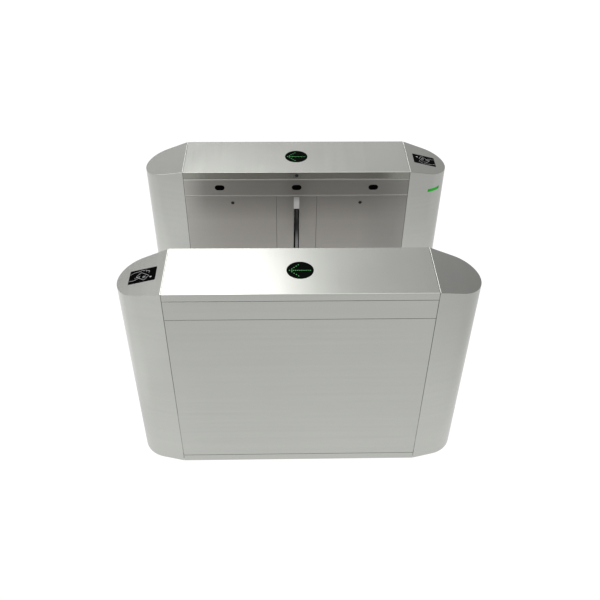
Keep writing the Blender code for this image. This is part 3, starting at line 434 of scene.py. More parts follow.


# The slot's cap is painted darker towards its top, as shade.
cap_shade_heights = ((CAP[0].z + CAP[1].z) / 2, CAP[1].z)
steel_folded = dull_metal("steel_folded_dull", base=0.42, roughness=0.46)
steel_bright = dull_metal("steel_bright", base=0.68, roughness=0.20, stain=0.08)
steel_lock = dull_metal("steel_lock_dark", base=0.06, roughness=0.34, stain=0.20)
steel_cap = dull_metal("steel_blasted_pale", base=0.84, roughness=0.50, stain=0.06, shaded_between=cap_shade_heights)
aluminium = dull_metal("aluminium_rolled", base=0.66, roughness=0.36, stain=0.10)
print("dull metal nodes:", len(steel_folded.node_tree.nodes))

# %% turned steel
RING_LINES, RING_DEPTH = 5200.0, 0.00002
GREASY = (0.45, 0.7)
GREASED, MACHINED = (0.16, 0.145, 0.12, 1.0), (0.56, 0.56, 0.57, 1.0)


def turned_steel(name, pivot_y, pivot_z):
    """Machined steel with a lathe's fine rings about the flap's shaft, and a thin coat of grease.
    """
    paint = Paint(name)
    place = paint.place()
    across = abs(paint.part_of(place, "Y")) - pivot_y
    above = paint.part_of(place, "Z") - pivot_z
    radius = (across * across + above * above) ** 0.5
    rings = (radius * RING_LINES).sine()
    drift = paint.noise(place, scale=26.0, detail=4.0, roughness=0.6)
    grease = drift.ramp(*GREASY)
    tone = (0.55 + rings * 0.08 + (drift - 0.5) * 0.6 - grease * 0.25).clamped()
    return paint.finish(
        Base_Color=paint.mixed(tone, GREASED, MACHINED),
        Metallic=1.0,
        Roughness=(0.42 - grease * 0.18 + rings * 0.03).clamped(),
        Coat_Weight=grease * 0.6,
        Normal=paint.bumped(rings, RING_DEPTH),
    )


steel_turned = turned_steel("steel_turned", PIVOT_Y, PIVOT_Z)
print("turned steel nodes:", len(steel_turned.node_tree.nodes))

# %% [markdown]
# ## Paints and plastics
#
# The flap is moulded, with a fine leather grain that hides scratches, and its upper end is painted
# dark as shade, where it lies deep in the slot under the cap. The motor and the boxes are sprayed.
# All share one skin of fine noise, which bumps the normal as orange peel and grain do.

# %% paints and plastics
DUST_TONE, SHADE_TONE = (0.45, 0.43, 0.40, 1.0), (0.012, 0.012, 0.013, 1.0)
DUSTY_FACING, DUSTY_PATCHES = (0.2, 1.0), (0.35, 0.7)
FLAP_SHADE = (0.585, 0.66)


def painted(name, low, high, roughness, peel=0.00008, dust=0.10, scale=420.0, shade_heights=None,
            shine=0.5):
    """Sprayed paint or moulded plastic with a fine uneven skin and a little dust on top.

    One argument holds two heights, between which a painted shade turns the surface dark.
    """
    paint = Paint(name)
    place = paint.place()
    skin = paint.noise(place, scale, detail=3.0)
    drift = paint.noise(place, scale=7.0, detail=4.0, roughness=0.6)
    facing = paint.part_of(paint.node("ShaderNodeNewGeometry", output="Normal"), "Z")
    dusty = facing.ramp(*DUSTY_FACING) * drift.ramp(*DUSTY_PATCHES) * dust
    tone = (0.5 + (skin - 0.5) * 0.7 + (drift - 0.5) * 0.5).clamped()
    plain = paint.mixed(tone, (*low, 1.0), (*high, 1.0))
    if shade_heights:
        # Painted shade on the flap's upper end, where it lies deep in the slot.
        marks = paint.part_of(place, "Z").ramp(*shade_heights) * (0.75 + drift * 0.4)
        plain = paint.mixed(marks.clamped(), plain, SHADE_TONE)
    return paint.finish(
        Base_Color=paint.mixed(dusty, plain, DUST_TONE),
        Roughness=(roughness + (skin - 0.5) * 0.16 + dusty).clamped(),
        Specular_IOR_Level=shine,
        Normal=paint.bumped(skin, peel, 0.6),
    )


flap_grey = painted("flap_moulded_grey", (0.22, 0.225, 0.23), (0.36, 0.365, 0.37), roughness=0.48,
                    shade_heights=FLAP_SHADE, shine=0.15)
enamel = painted("enamel_black", (0.012, 0.012, 0.013), (0.04, 0.04, 0.043), roughness=0.36,
                 peel=0.00005)
powder = painted("powder_grey", (0.42, 0.43, 0.44), (0.60, 0.61, 0.62), roughness=0.52,
                 peel=0.00010)
print("flap nodes:", len(flap_grey.node_tree.nodes))

# %% [markdown]
# ## Windows and lights
#
# The windows are cast acrylic, smooth enough that only dust and fine wiping marks break a
# reflection. The diffuser and the lamps are lit from behind. Their light is an emission that is
# strongest in the middle, because a plain even green would look painted.

# %% black windows
ACRYLIC, ACRYLIC_DUST = (0.001, 0.001, 0.0012, 1.0), (0.05, 0.05, 0.05, 1.0)
WIPE_LINES, WIPED, WIPE_DEPTH = (30.0, 240.0, 60.0), (0.45, 0.8), 0.000006
SPECKS = (0.66, 0.78)
WINDOW_SHINE, DISPLAY_GLOW = 0.008, 0.0018


def black_window(name, glow=0.0):
    """Polished black acrylic with wiping marks, specks of dust and a little green light inside."""
    paint = Paint(name)
    place = paint.place()
    wipes = paint.noise(paint.stretched(place, WIPE_LINES), scale=1.0, detail=3.0)
    dust = paint.noise(place, scale=900.0, detail=2.0, roughness=0.6).ramp(*SPECKS)
    haze = paint.noise(place, scale=14.0, detail=3.0, roughness=0.6)
    return paint.finish(
        Base_Color=paint.mixed(dust * 0.3, ACRYLIC, ACRYLIC_DUST),
        Roughness=(0.05 + wipes.ramp(*WIPED) * 0.08 + haze * 0.05 + dust * 0.3).clamped(),
        Specular_IOR_Level=WINDOW_SHINE,
        Emission_Color=(0.0, glow, 0.0, 1.0),
        Emission_Strength=1.0,
        Normal=paint.bumped(wipes, WIPE_DEPTH, 0.3),
    )


acrylic = black_window("acrylic_black")
acrylic_lit = black_window("acrylic_black_lit", DISPLAY_GLOW)
print("window nodes:", len(acrylic.node_tree.nodes))

# %% green lights
LAMPS, LAMP_SHARE, FADE_POWER = 9, 0.22, 0.55
LIT_SHINE = 0.15
MILK_DARK, MILK_PALE = (0.006, 0.10, 0.010, 1.0), (0.012, 0.16, 0.016, 1.0)
BAR_DIM, BAR_BRIGHT = (0.0, 0.010, 0.0, 1.0), (0.003, 0.26, 0.005, 1.0)
DOT_DARK, DOT_PALE = (0.05, 0.20, 0.07, 1.0), (0.08, 0.28, 0.10, 1.0)
DOT_MIDDLE, DOT_RIM = (0.10, 0.44, 0.13, 1.0), (0.006, 0.14, 0.014, 1.0)
DOT_DIM = (0.0, 0.01, 0.0, 1.0)


def lit_bar(name, start, end):
    """The green diffuser: brightest over its lamps, and fading towards both ends."""
    paint = Paint(name)
    place = paint.place()
    along = abs(paint.part_of(place, "X")).ramp(start, end)
    fade = (along * (1.0 - along) * 4.0) ** FADE_POWER
    lamps = (along * LAMPS * math.pi).sine()
    milk = paint.noise(place, scale=160.0)
    light = fade * (1.0 - LAMP_SHARE + abs(lamps) * LAMP_SHARE) * (0.9 + milk * 0.2)
    return paint.finish(
        Base_Color=paint.mixed(milk, MILK_DARK, MILK_PALE),
        Roughness=0.18 + milk * 0.1,
        Emission_Color=paint.mixed(light.clamped(), BAR_DIM, BAR_BRIGHT),
        Emission_Strength=1.0,
        Specular_IOR_Level=LIT_SHINE,
        Normal=paint.bumped(milk, 0.00002, 0.3),
    )


def lit_dot(name, bright_x, dim_x):
    """A lamp's dome: pale in the middle, green at its rim, and dimmer along the arrow's shaft."""
    paint = Paint(name)
    place = paint.place()
    grain = paint.noise(place, scale=600.0)
    edge = paint.node("ShaderNodeLayerWeight", inputs={"Blend": 0.5}, output="Facing")
    glow = paint.mixed(edge, DOT_MIDDLE, DOT_RIM)
    dim = paint.part_of(place, "X").ramp(bright_x, dim_x) * 0.8 + grain * 0.2
    return paint.finish(
        Base_Color=paint.mixed(grain, DOT_DARK, DOT_PALE),
        Roughness=0.2 + grain * 0.1,
        Emission_Color=paint.mixed(dim, glow, DOT_DIM),
        Emission_Strength=1.0,
        Specular_IOR_Level=LIT_SHINE,
    )


diffuser = lit_bar("diffuser_green", BAR[0].x, BAR[1].x)
print("diffuser nodes:", len(diffuser.node_tree.nodes))

# %% [markdown]
# ## Which part wears what
#
# Every packed part names a material slot. The skins are split once more: the covers were brushed
# across the cabinet, and the lane's panels come from a sheet of a smoother, warmer finish, with
# painted shade and a painted highlight.

# %% paint the packed parts
FINISHES = {
    "brushed_steel": steel_level,
    "frame_steel": steel_folded,
    "bright_steel": steel_bright,
    "black_acrylic": acrylic,
    "green_lens": diffuser,
    "grey_plastic": flap_grey,
    "gear_steel": steel_turned,
    "motor_black": enamel,
    "box_grey": powder,
    "supply_aluminium": aluminium,
}
SPECIAL = {
    "base_frame": steel_level,
    "top_cover": steel_across,
    "arrow_display": acrylic_lit,
    "slot_cap": steel_cap,
    "reader_end_housing": steel_end,
    "plain_end_housing": steel_end,
}
SPECIAL.update({part: steel_lane for part in ("sensor_rail", "slot_panel", "door_a", "door_b")})
SPECIAL.update({part: steel_lock for part in ("cover_lock", "door_lock_a", "door_lock_b")})


def finish_of(subpart):
    """The material that a packed part wears."""
    part = subpart["node"].partition("_")[2]
    return SPECIAL.get(part, FINISHES[subpart["material_slot"]])


for subpart in frame["record"]["subparts"]:
    for slot in nodes[subpart["node"]].material_slots:
        slot.material = finish_of(subpart)
print("finishes:", len(FINISHES), "and", len(SPECIAL), "parts with their own")

# %% [markdown]
# ## Round forms that shade round
#
# The packed parts are made of flat facets. Each gets a small node tree that joins its facets and
# shades those that meet at a shallow angle as one curve. The edges of the sheets have a narrow fold
# of two facets, 45 degrees apart. Those take the mean of the normals round them, weighed by area,
# so that a fold shades round and the wide flat beside it stays flat. The shape stays as it was.

# %% a geometry tree and its steps
def new_group(name, sockets):
    """An empty geometry tree with a mesh in, a mesh out and further named inputs."""
    group = bpy.data.node_groups.new(name, "GeometryNodeTree")
    group.interface.new_socket("Geometry", in_out="INPUT", socket_type="NodeSocketGeometry")
    for title, kind in sockets:
        group.interface.new_socket(title, in_out="INPUT", socket_type=kind)
    group.interface.new_socket("Geometry", in_out="OUTPUT", socket_type="NodeSocketGeometry")
    return group, group.nodes.new("NodeGroupInput"), group.nodes.new("NodeGroupOutput")


def step(group, kind, settings=None, inputs=None):
    """A node of a geometry tree, with its inputs set to values or linked to sockets."""
    made = group.nodes.new(kind)
    for name, value in (settings or {}).items():
        setattr(made, name, value)
    for name, value in (inputs or {}).items():
        if isinstance(value, bpy.types.NodeSocket):
            group.links.new(value, made.inputs[name])
        else:
            made.inputs[name].default_value = value
    return made


print("tools for trees:", new_group.__name__, "and", step.__name__)

# %% shade the shallow angles
SHALLOW, FOLD, FOLD_SPAN = math.radians(20), math.radians(45), math.radians(1)
JOIN_DISTANCE = 0.00001


def smoothing_group():
    """Joined facets, smooth up to an angle, with folds that shade from flat to flat."""
    sockets = [("Angle", "NodeSocketFloat"), ("Fold Angle", "NodeSocketFloat")]
    group, start, end = new_group("shade_shallow", sockets)

    def on(domain, value, kind="FLOAT_VECTOR"):
        """A value as the faces or points round it share it."""
        settings = {"data_type": kind, "domain": domain}
        return step(group, "GeometryNodeFieldOnDomain", settings, {"Value": value}).outputs[0]

    def compare(operation, inputs):
        """A test on two numbers."""
        settings = {"data_type": "FLOAT", "operation": operation}
        return step(group, "FunctionNodeCompare", settings, inputs).outputs[0]

    joined = step(group, "GeometryNodeMergeByDistance", None,
                  {"Geometry": start.outputs["Geometry"], "Distance": JOIN_DISTANCE})
    facing = step(group, "GeometryNodeInputNormal")
    area = step(group, "GeometryNodeInputMeshFaceArea").outputs[0]
    weighed = step(group, "ShaderNodeVectorMath", {"operation": "SCALE"},
                   {0: on("FACE", facing.outputs["True Normal"]), "Scale": area})
    summed = on("POINT", on("FACE", weighed.outputs[0]))
    shared = step(group, "ShaderNodeVectorMath", {"operation": "NORMALIZE"}, {0: summed})
    angle = step(group, "GeometryNodeInputMeshEdgeAngle").outputs[0]
    steep = compare("GREATER_THAN", {0: angle, 1: start.outputs["Angle"]})
    folded = compare("EQUAL", {0: angle, 1: start.outputs["Fold Angle"], "Epsilon": FOLD_SPAN})
    in_fold = compare("GREATER_THAN", {0: on("FACE", folded, "FLOAT"), 1: 0.0})
    chosen = step(group, "GeometryNodeSwitch", {"input_type": "VECTOR"},
                  {"Switch": in_fold, "False": facing.outputs["Normal"], "True": shared.outputs[0]})
    plain = step(group, "GeometryNodeRemoveAttribute", None,
                 {"Geometry": joined.outputs[0], "Name": "custom_normal"})
    faces = step(group, "GeometryNodeSetShadeSmooth", {"domain": "FACE"},
                 {"Geometry": plain.outputs[0], "Shade Smooth": True})
    edges = step(group, "GeometryNodeSetShadeSmooth", {"domain": "EDGE"},
                 {"Geometry": faces.outputs[0], "Selection": steep, "Shade Smooth": False})
    shaded = step(group, "GeometryNodeSetMeshNormal", {"mode": "FREE", "domain": "CORNER"},
                  {"Mesh": edges.outputs[0], "Custom Normal": chosen.outputs[0]})
    group.links.new(shaded.outputs[0], end.inputs[0])
    return group


def set_inputs(modifier, values):
    """Sets a node modifier's inputs by the identifiers of their sockets."""
    for item in modifier.node_group.interface.items_tree:
        if item.in_out == "INPUT" and item.name in values:
            modifier[item.identifier] = values[item.name]


smoothing = smoothing_group()
for part in nodes.values():
    shaded = part.modifiers.new("shade_shallow", "NODES")
    shaded.node_group = smoothing
    set_inputs(shaded, {"Angle": SHALLOW, "Fold Angle": FOLD})
print("shaded:", len(nodes))

# %% [markdown]
# ## What repeats
#
# Lamps, bolts and screws are one small form set down many times. A node tree builds the form from
# a few named sizes, sets it on every point it is given, gives each copy its own turn from a fixed
# seed, and ends as one plain mesh.

# %% from a tree to one plain piece
def scattered(name, places, turn, group, values, material, body, slot):
    """The form a tree builds, set on points and kept as one piece that rides on a body."""
    points = bpy.data.meshes.new(name + "_points")
    points.from_pydata([tuple(turn.inverted() @ place) for place in places], [], [])
    maker = bpy.data.objects.new(name + "_maker", points)
    bpy.context.scene.collection.objects.link(maker)
    tree = maker.modifiers.new("form", "NODES")
    tree.node_group = group
    set_inputs(tree, {**values, "Material": material})
    evaluated = maker.evaluated_get(bpy.context.evaluated_depsgraph_get())
    mesh = bpy.data.meshes.new_from_object(evaluated)
    mesh.transform(turn.to_4x4())
    mesh.name = name
    bpy.data.objects.remove(maker)
    bpy.data.meshes.remove(points)
    piece = bpy.data.objects.new(name, mesh)
    bpy.context.scene.collection.objects.link(piece)
    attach(piece, body)


def on_points(group, start, end, form):
    """Ends a tree: the form on every point, turned about Z by chance, and made real."""
    points = step(group, "GeometryNodeMeshToPoints", None, {"Mesh": start.outputs["Geometry"]})
    chance = step(group, "FunctionNodeRandomValue", {"data_type": "FLOAT"},
                  {"Seed": start.outputs["Seed"]})
    chance.inputs[3].default_value = math.tau
    turn = step(group, "ShaderNodeCombineXYZ", None, {"Z": chance.outputs[1]})
    copies = step(group, "GeometryNodeInstanceOnPoints", None,
                  {"Points": points.outputs[0], "Instance": form, "Rotation": turn.outputs[0]})
    real = step(group, "GeometryNodeRealizeInstances", None, {"Geometry": copies.outputs[0]})
    painted_form = step(group, "GeometryNodeSetMaterial", None,
                        {"Geometry": real.outputs[0], "Material": start.outputs["Material"]})
    group.links.new(painted_form.outputs[0], end.inputs[0])
    return group


print("tools for pieces:", scattered.__name__, "and", on_points.__name__)

# %% two forms and their trees
LAMP_SEGMENTS, LAMP_RINGS = 16, 8
WASHER_SIDES, CROWN_SIDES = 28, 24
SHANK_SHARE, CROWN_SHARE, CROWN_WIDTH = 0.8, 0.2, 0.8


def lamp_group():
    """A low dome, such as the lens of a small lamp."""
    sockets = [("Radius", "NodeSocketFloat"), ("Height", "NodeSocketFloat"),
               ("Seed", "NodeSocketInt"), ("Material", "NodeSocketMaterial")]
    group, start, end = new_group("lamp", sockets)
    ball = step(group, "GeometryNodeMeshUVSphere", None,
                {"Segments": LAMP_SEGMENTS, "Rings": LAMP_RINGS, "Radius": 1.0})
    radius, height = start.outputs["Radius"], start.outputs["Height"]
    size = step(group, "ShaderNodeCombineXYZ", None, {"X": radius, "Y": radius, "Z": height})
    dome = step(group, "GeometryNodeTransform", None,
                {"Geometry": ball.outputs["Mesh"], "Scale": size.outputs[0]})
    round_dome = step(group, "GeometryNodeSetShadeSmooth", None, {"Geometry": dome.outputs[0]})
    return on_points(group, start, end, round_dome.outputs[0])


def bolt_group():
    """A washer with a bolt's head on it; the head's sides say hexagon or round."""
    sockets = [("Head Radius", "NodeSocketFloat"), ("Head Height", "NodeSocketFloat"),
               ("Washer Radius", "NodeSocketFloat"), ("Washer Height", "NodeSocketFloat"),
               ("Sides", "NodeSocketInt"), ("Seed", "NodeSocketInt"),
               ("Material", "NodeSocketMaterial")]
    group, start, end = new_group("bolt", sockets)

    def disc(sides, radius, height, lift):
        """A cylinder that stands on a height."""
        body = step(group, "GeometryNodeMeshCylinder", None,
                    {"Vertices": sides, "Radius": radius, "Depth": height})
        half = step(group, "ShaderNodeMath", {"operation": "MULTIPLY_ADD"},
                    {0: height, 1: 0.5, 2: lift})
        up = step(group, "ShaderNodeCombineXYZ", None, {"Z": half.outputs[0]})
        return step(group, "GeometryNodeTransform", None,
                    {"Geometry": body.outputs["Mesh"], "Translation": up.outputs[0]}).outputs[0]

    def worked(operation, one, two):
        """Two sizes added or multiplied."""
        return step(group, "ShaderNodeMath", {"operation": operation}, {0: one, 1: two}).outputs[0]

    head, washer = start.outputs["Head Radius"], start.outputs["Washer Radius"]
    head_height, washer_height = start.outputs["Head Height"], start.outputs["Washer Height"]
    shank_height = worked("MULTIPLY", head_height, SHANK_SHARE)
    crown_height = worked("MULTIPLY", head_height, CROWN_SHARE)
    crown = worked("MULTIPLY", head, CROWN_WIDTH)
    parts = [
        disc(WASHER_SIDES, washer, washer_height, 0.0),
        disc(start.outputs["Sides"], head, shank_height, washer_height),
        disc(CROWN_SIDES, crown, crown_height, worked("ADD", washer_height, shank_height)),
    ]
    whole = group.nodes.new("GeometryNodeJoinGeometry")
    for part in parts:
        group.links.new(part, whole.inputs[0])
    return on_points(group, start, end, whole.outputs[0])


lamps, bolts = lamp_group(), bolt_group()
print("trees:", lamps.name, len(lamps.nodes), "and", bolts.name, len(bolts.nodes))

# %% [markdown]
# ## The arrow of lamps
#
# Behind each round window a board carries green lamps. Those that are lit make an arrow, and both
# cabinets point the same way, so it isn't turned round with its cabinet.

# %% set the lamps
LAMP_RADIUS, LAMP_HEIGHT = 0.0021, 0.0005
HEAD_PITCH, SHAFT_PITCH = 0.0085, 0.0071
HEAD_DOTS, SHAFT_DOTS = 4, 11
ARROW_TIP = -0.0400
DISPLAY_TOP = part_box("right_arrow_display")[1].z


def arrow_places(centre_y):
    """Where the lamps of one arrow lie: its tip, its two barbs and its shaft."""
    barb = [(ARROW_TIP + k * HEAD_PITCH, side * k * HEAD_PITCH)
            for side in (-1, 1) for k in range(1, HEAD_DOTS + 1)]
    shaft = [(ARROW_TIP + HEAD_PITCH + k * SHAFT_PITCH, 0.0) for k in range(SHAFT_DOTS)]
    return [Vector((x, centre_y + y, DISPLAY_TOP)) for x, y in [(ARROW_TIP, 0.0)] + barb + shaft]


lamp_glow = lit_dot("lamp_green", ARROW_TIP, -ARROW_TIP)
UPRIGHT = Matrix.Identity(3)
for number, side in enumerate(SIDES):
    middle = CABINET_Y if side == "right" else -CABINET_Y
    scattered(f"{side}_arrow_lamps", arrow_places(middle), UPRIGHT, lamps,
              {"Radius": LAMP_RADIUS, "Height": LAMP_HEIGHT, "Seed": number}, lamp_glow,
              f"{side}_cover", "green_lens")
print("lamps in an arrow:", len(arrow_places(0.0)))

# %% [markdown]
# ## The mark on the reader
#
# A hand that holds a card shows where a card is read. It is a plain drawing in strokes of one
# width, printed on the back of the window on the real gate. Here each stroke is a curve with a
# round section, pressed flat on the window's slope. The oval beside it is the reader's signal lamp.

# %% places on the window, from the corner nearest the lane and the cover
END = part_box("right_reader_end_housing")
END_FALL = 0.0475
WINDOW_START, WINDOW_WIDTH = 0.033, 0.080
STROKE, EYE_STROKE, STROKE_RESOLUTION = 0.0008, 0.0034, 3
CORNER_STEPS = 4
INK_RISE = 0.00010
FLATTEN_SHARE = 0.10
CARD_LONG, CARD_SHORT, CARD_CORNER = 0.044, 0.029, 0.004
CARD_CENTRE, CARD_TILT = Vector((0.054, 0.044)), -38
EYE = [(0.016, 0.056), (0.024, 0.056)]
THUMB = [(0.106, 0.060), (0.094, 0.063), (0.080, 0.059), (0.068, 0.050), (0.063, 0.043),
         (0.068, 0.040), (0.076, 0.044), (0.085, 0.048)]
PALM = [(0.106, 0.022), (0.096, 0.016), (0.086, 0.013), (0.076, 0.012), (0.068, 0.011)]
FINGERS = [[(0.068, 0.011), (0.060, 0.006), (0.051, 0.007), (0.053, 0.014)],
           [(0.051, 0.010), (0.042, 0.008), (0.036, 0.013), (0.042, 0.020)],
           [(0.037, 0.014), (0.029, 0.016), (0.025, 0.022), (0.032, 0.028)]]
WAVE_RADII = (0.004, 0.008, 0.012)
WAVE_START, WAVE_SWEEP, WAVE_STEPS = 97, 90, 6


def ring_part(centre, radius, start, sweep, steps):
    """Points on part of a ring, from a start and a sweep in degrees."""
    angles = [math.radians(start + sweep * k / steps) for k in range(steps + 1)]
    return [centre + radius * Vector((math.cos(angle), math.sin(angle))) for angle in angles]


def card_outline():
    """A rectangle with round corners, tilted in the hand."""
    turn = Matrix.Rotation(math.radians(CARD_TILT), 2)
    long, short = CARD_LONG / 2 - CARD_CORNER, CARD_SHORT / 2 - CARD_CORNER
    corners = ((long, short, 0), (-long, short, 90), (-long, -short, 180), (long, -short, 270))
    flat = [point for u, v, start in corners
            for point in ring_part(Vector((u, v)), CARD_CORNER, start, 90, CORNER_STEPS)]
    return [turn @ point + CARD_CENTRE for point in flat]


print("fingers:", len(FINGERS), "points in a card's outline:", len(card_outline()))

# %% draw and set the marks
def spot(side, x, y, z):
    """A place in the right cabinet, or where half a turn of the gate puts it in the left one."""
    if side == "right":
        return Vector((x, CABINET_Y + y, z))
    return Vector((-x, -CABINET_Y - y, z))


def drawing(name, strokes, radius):
    """A mesh of round strokes, each of them (points, closed, smooth), on a flat sheet."""
    curve = bpy.data.curves.new(name, "CURVE")
    curve.dimensions = "3D"
    curve.bevel_depth = radius
    curve.bevel_resolution = STROKE_RESOLUTION
    curve.use_fill_caps = True
    for points, closed, smooth in strokes:
        spline = curve.splines.new("NURBS" if smooth else "POLY")
        spline.points.add(len(points) - 1)
        for point, (u, v) in zip(spline.points, points):
            point.co = (u, v, 0.0, 1.0)
        spline.use_cyclic_u = closed
        spline.use_endpoint_u = True
    maker = bpy.data.objects.new(name, curve)
    bpy.context.scene.collection.objects.link(maker)
    evaluated = maker.evaluated_get(bpy.context.evaluated_depsgraph_get())
    mesh = bpy.data.meshes.new_from_object(evaluated)
    bpy.data.objects.remove(maker)
    return mesh


def on_window(side, name, strokes, radius, material):
    """A drawing pressed flat on the window of one side."""
    mesh = drawing(f"{side}_{name}", strokes, radius)
    slope = math.atan(END_FALL / (END[1].x - END[0].x))
    for vertex in mesh.vertices:
        u, v, lift = vertex.co
        along, above = WINDOW_START + u, INK_RISE + lift * FLATTEN_SHARE
        x = END[0].x + along * math.cos(slope) + above * math.sin(slope)
        z = END[1].z - along * math.sin(slope) + above * math.cos(slope)
        vertex.co = spot(side, x, v - WINDOW_WIDTH / 2, z)
    mesh.materials.append(material)
    piece = bpy.data.objects.new(f"{side}_{name}", mesh)
    bpy.context.scene.collection.objects.link(piece)
    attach(piece, "root")


ink = painted("ink_white", (0.26, 0.26, 0.26), (0.40, 0.40, 0.40), roughness=0.45, peel=0.00001,
              dust=0.05, scale=900.0)
mark_strokes = [(card_outline(), True, False)]
mark_strokes += [(points, False, True) for points in [THUMB, PALM] + FINGERS]
mark_strokes += [(ring_part(CARD_CENTRE, radius, WAVE_START, WAVE_SWEEP, WAVE_STEPS), False, False)
                 for radius in WAVE_RADII]
for side in SIDES:
    on_window(side, "reader_mark", mark_strokes, STROKE, ink)
    on_window(side, "reader_eye", [(EYE, False, False)], EYE_STROKE, ink)
print("strokes in a mark:", len(mark_strokes))

# %% [markdown]
# ## Bolts and screws
#
# When a door is tilted out, the drive shows. Hexagon bolts hold its foot to the base and the base
# to the floor, and screws hold the bearings, the gearbox, the flap and the hinge's leaf. Each set
# is named by what it holds, and rides with it.

# %% where they go, in the right cabinet's own measure
FRAME_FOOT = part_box("right_mechanism_frame")
BEARINGS = [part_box(f"right_bearing_{letter}") for letter in "ab"]
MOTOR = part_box("right_gearmotor")
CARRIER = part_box("right_flap_carrier")
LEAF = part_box("right_cover_hinge")
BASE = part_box("right_base_frame")
BASE_PLATE, FOOT_TOP = 0.0040, 0.0103
ANCHOR_EDGE, FOOT_EDGE = 0.060, 0.014
BEARING_SCREWS, BEARING_PITCH = 4, 0.0250
GEARBOX_END, GEARBOX_HALF, GEARBOX_SCREW = 0.0973, 0.035, 0.0055
LEAF_SCREWS, LEAF_TOP, LEAF_FOOT_Y = 8, 0.9468, 0.1045
CLAMP_ROWS = ((0.050, (-0.016, 0.018)), (0.098, (-0.022, 0.006, 0.034)))

BOLT = {"Head Radius": 0.0075, "Head Height": 0.0065, "Washer Radius": 0.0105,
        "Washer Height": 0.0016, "Sides": 6}
ANCHOR = {"Head Radius": 0.0110, "Head Height": 0.0100, "Washer Radius": 0.0150,
          "Washer Height": 0.0025, "Sides": 6}
SCREW = {"Head Radius": 0.0030, "Head Height": 0.0022, "Washer Radius": 0.0034,
         "Washer Height": 0.0003, "Sides": 20}
FLUSH_SCREW = {"Head Radius": 0.0036, "Head Height": 0.0002, "Washer Radius": 0.0038,
               "Washer Height": 0.0001, "Sides": 20}
TO_RIGHT = Matrix.Rotation(math.radians(90), 3, "Y")
TO_LEFT = Matrix.Rotation(math.radians(-90), 3, "Y")
print("kinds of bolts and screws:", len((BOLT, ANCHOR, SCREW, FLUSH_SCREW)))


# %% the sets, one function for each
def local_y(y):
    """A world y of the right cabinet in its own measure."""
    return y - CABINET_Y


def foot_bolts():
    """Four bolts at the corners of the mechanism's foot."""
    near, far = local_y(FRAME_FOOT[0].y) + FOOT_EDGE, local_y(FRAME_FOOT[1].y) - FOOT_EDGE
    across = FRAME_FOOT[1].x - 2 * FOOT_EDGE
    return [(x, y, FOOT_TOP) for x in (-across, across) for y in (near, far)]


def anchor_bolts():
    """Four bolts into the floor, near the corners of the base."""
    along, across = BASE[1].x - ANCHOR_EDGE, local_y(BASE[1].y) - ANCHOR_EDGE
    return [(x, y, BASE_PLATE) for x in (-along, along) for y in (-across, across)]


def bearing_screws(face_x):
    """Screws round a bearing's flange, on the face at x."""
    turns = [math.tau * (k + 0.5) / BEARING_SCREWS for k in range(BEARING_SCREWS)]
    return [(face_x, local_y(PIVOT_Y) + BEARING_PITCH * math.cos(turn),
             PIVOT_Z + BEARING_PITCH * math.sin(turn)) for turn in turns]


def gearbox_screws():
    """Screws in the four corners of the gearbox's end."""
    middle_y = local_y((MOTOR[0].y + MOTOR[1].y) / 2)
    middle_z = (MOTOR[0].z + MOTOR[1].z) / 2
    reach = GEARBOX_HALF - GEARBOX_SCREW
    return [(GEARBOX_END, middle_y + a * reach, middle_z + b * reach)
            for a in (-1, 1) for b in (-1, 1)]


def clamp_screws(face_x):
    """Flush screws that clamp the flap's foot, on one plate of its carrier."""
    return [(face_x, local_y(PIVOT_Y) + y, PIVOT_Z + rise) for rise, row in CLAMP_ROWS for y in row]


def leaf_screws():
    """Screws along the foot of the cover's hinge."""
    pitch = (LEAF[1].x - LEAF[0].x) / (LEAF_SCREWS + 1)
    return [(LEAF[0].x + pitch * (k + 1), LEAF_FOOT_Y, LEAF_TOP) for k in range(LEAF_SCREWS)]


print("screws round a bearing:", len(bearing_screws(BEARINGS[0][0].x)))

# %% set them in both cabinets
ZINC_TINT = (1.02, 1.0, 0.97)
zinc = dull_metal("steel_zinc_bright", base=0.62, roughness=0.34, stain=0.30, tint=ZINC_TINT)
SETS = {
    "foot_bolts": (foot_bolts(), UPRIGHT, BOLT, "root"),
    "anchor_bolts": (anchor_bolts(), UPRIGHT, ANCHOR, "root"),
    "bearing_screws_a": (bearing_screws(BEARINGS[0][0].x), TO_LEFT, SCREW, "root"),
    "bearing_screws_b": (bearing_screws(BEARINGS[1][1].x), TO_RIGHT, SCREW, "root"),
    "gearbox_screws": (gearbox_screws(), TO_RIGHT, SCREW, "root"),
    "clamp_screws_a": (clamp_screws(CARRIER[0].x), TO_LEFT, FLUSH_SCREW, "flap"),
    "clamp_screws_b": (clamp_screws(CARRIER[1].x), TO_RIGHT, FLUSH_SCREW, "flap"),
    "leaf_screws": (leaf_screws(), UPRIGHT, SCREW, "root"),
}
for number, (name, (places, turn, sizes, body)) in enumerate(SETS.items()):
    for side in SIDES:
        half_turn = Matrix.Rotation(0.0 if side == "right" else math.pi, 3, "Z")
        rides_on = body if body == "root" else f"{side}_{body}"
        spots = [spot(side, *place) for place in places]
        scattered(f"{side}_{name}", spots, half_turn @ turn, bolts, {**sizes, "Seed": number}, zinc,
                  rides_on, "bright_steel")
print("sets of bolts and screws:", len(SETS) * len(SIDES))

# %% [markdown]
# ## The studio
#
# The gate stands on a pale floor that runs out of sight. Steel shows what it reflects, so its look
# is that of the studio. The covers mirror the sky: dim on the right, brighter on the left, with a
# strong soft glow high behind that whitens the nearer cover's left half. The walls and the round
# noses mirror the floor, which is a little brighter far left, behind on both sides and by the left
# feet, and dimmer on the right. Floor and sky look white to the camera and throw less light back,
# as an overexposed studio does.

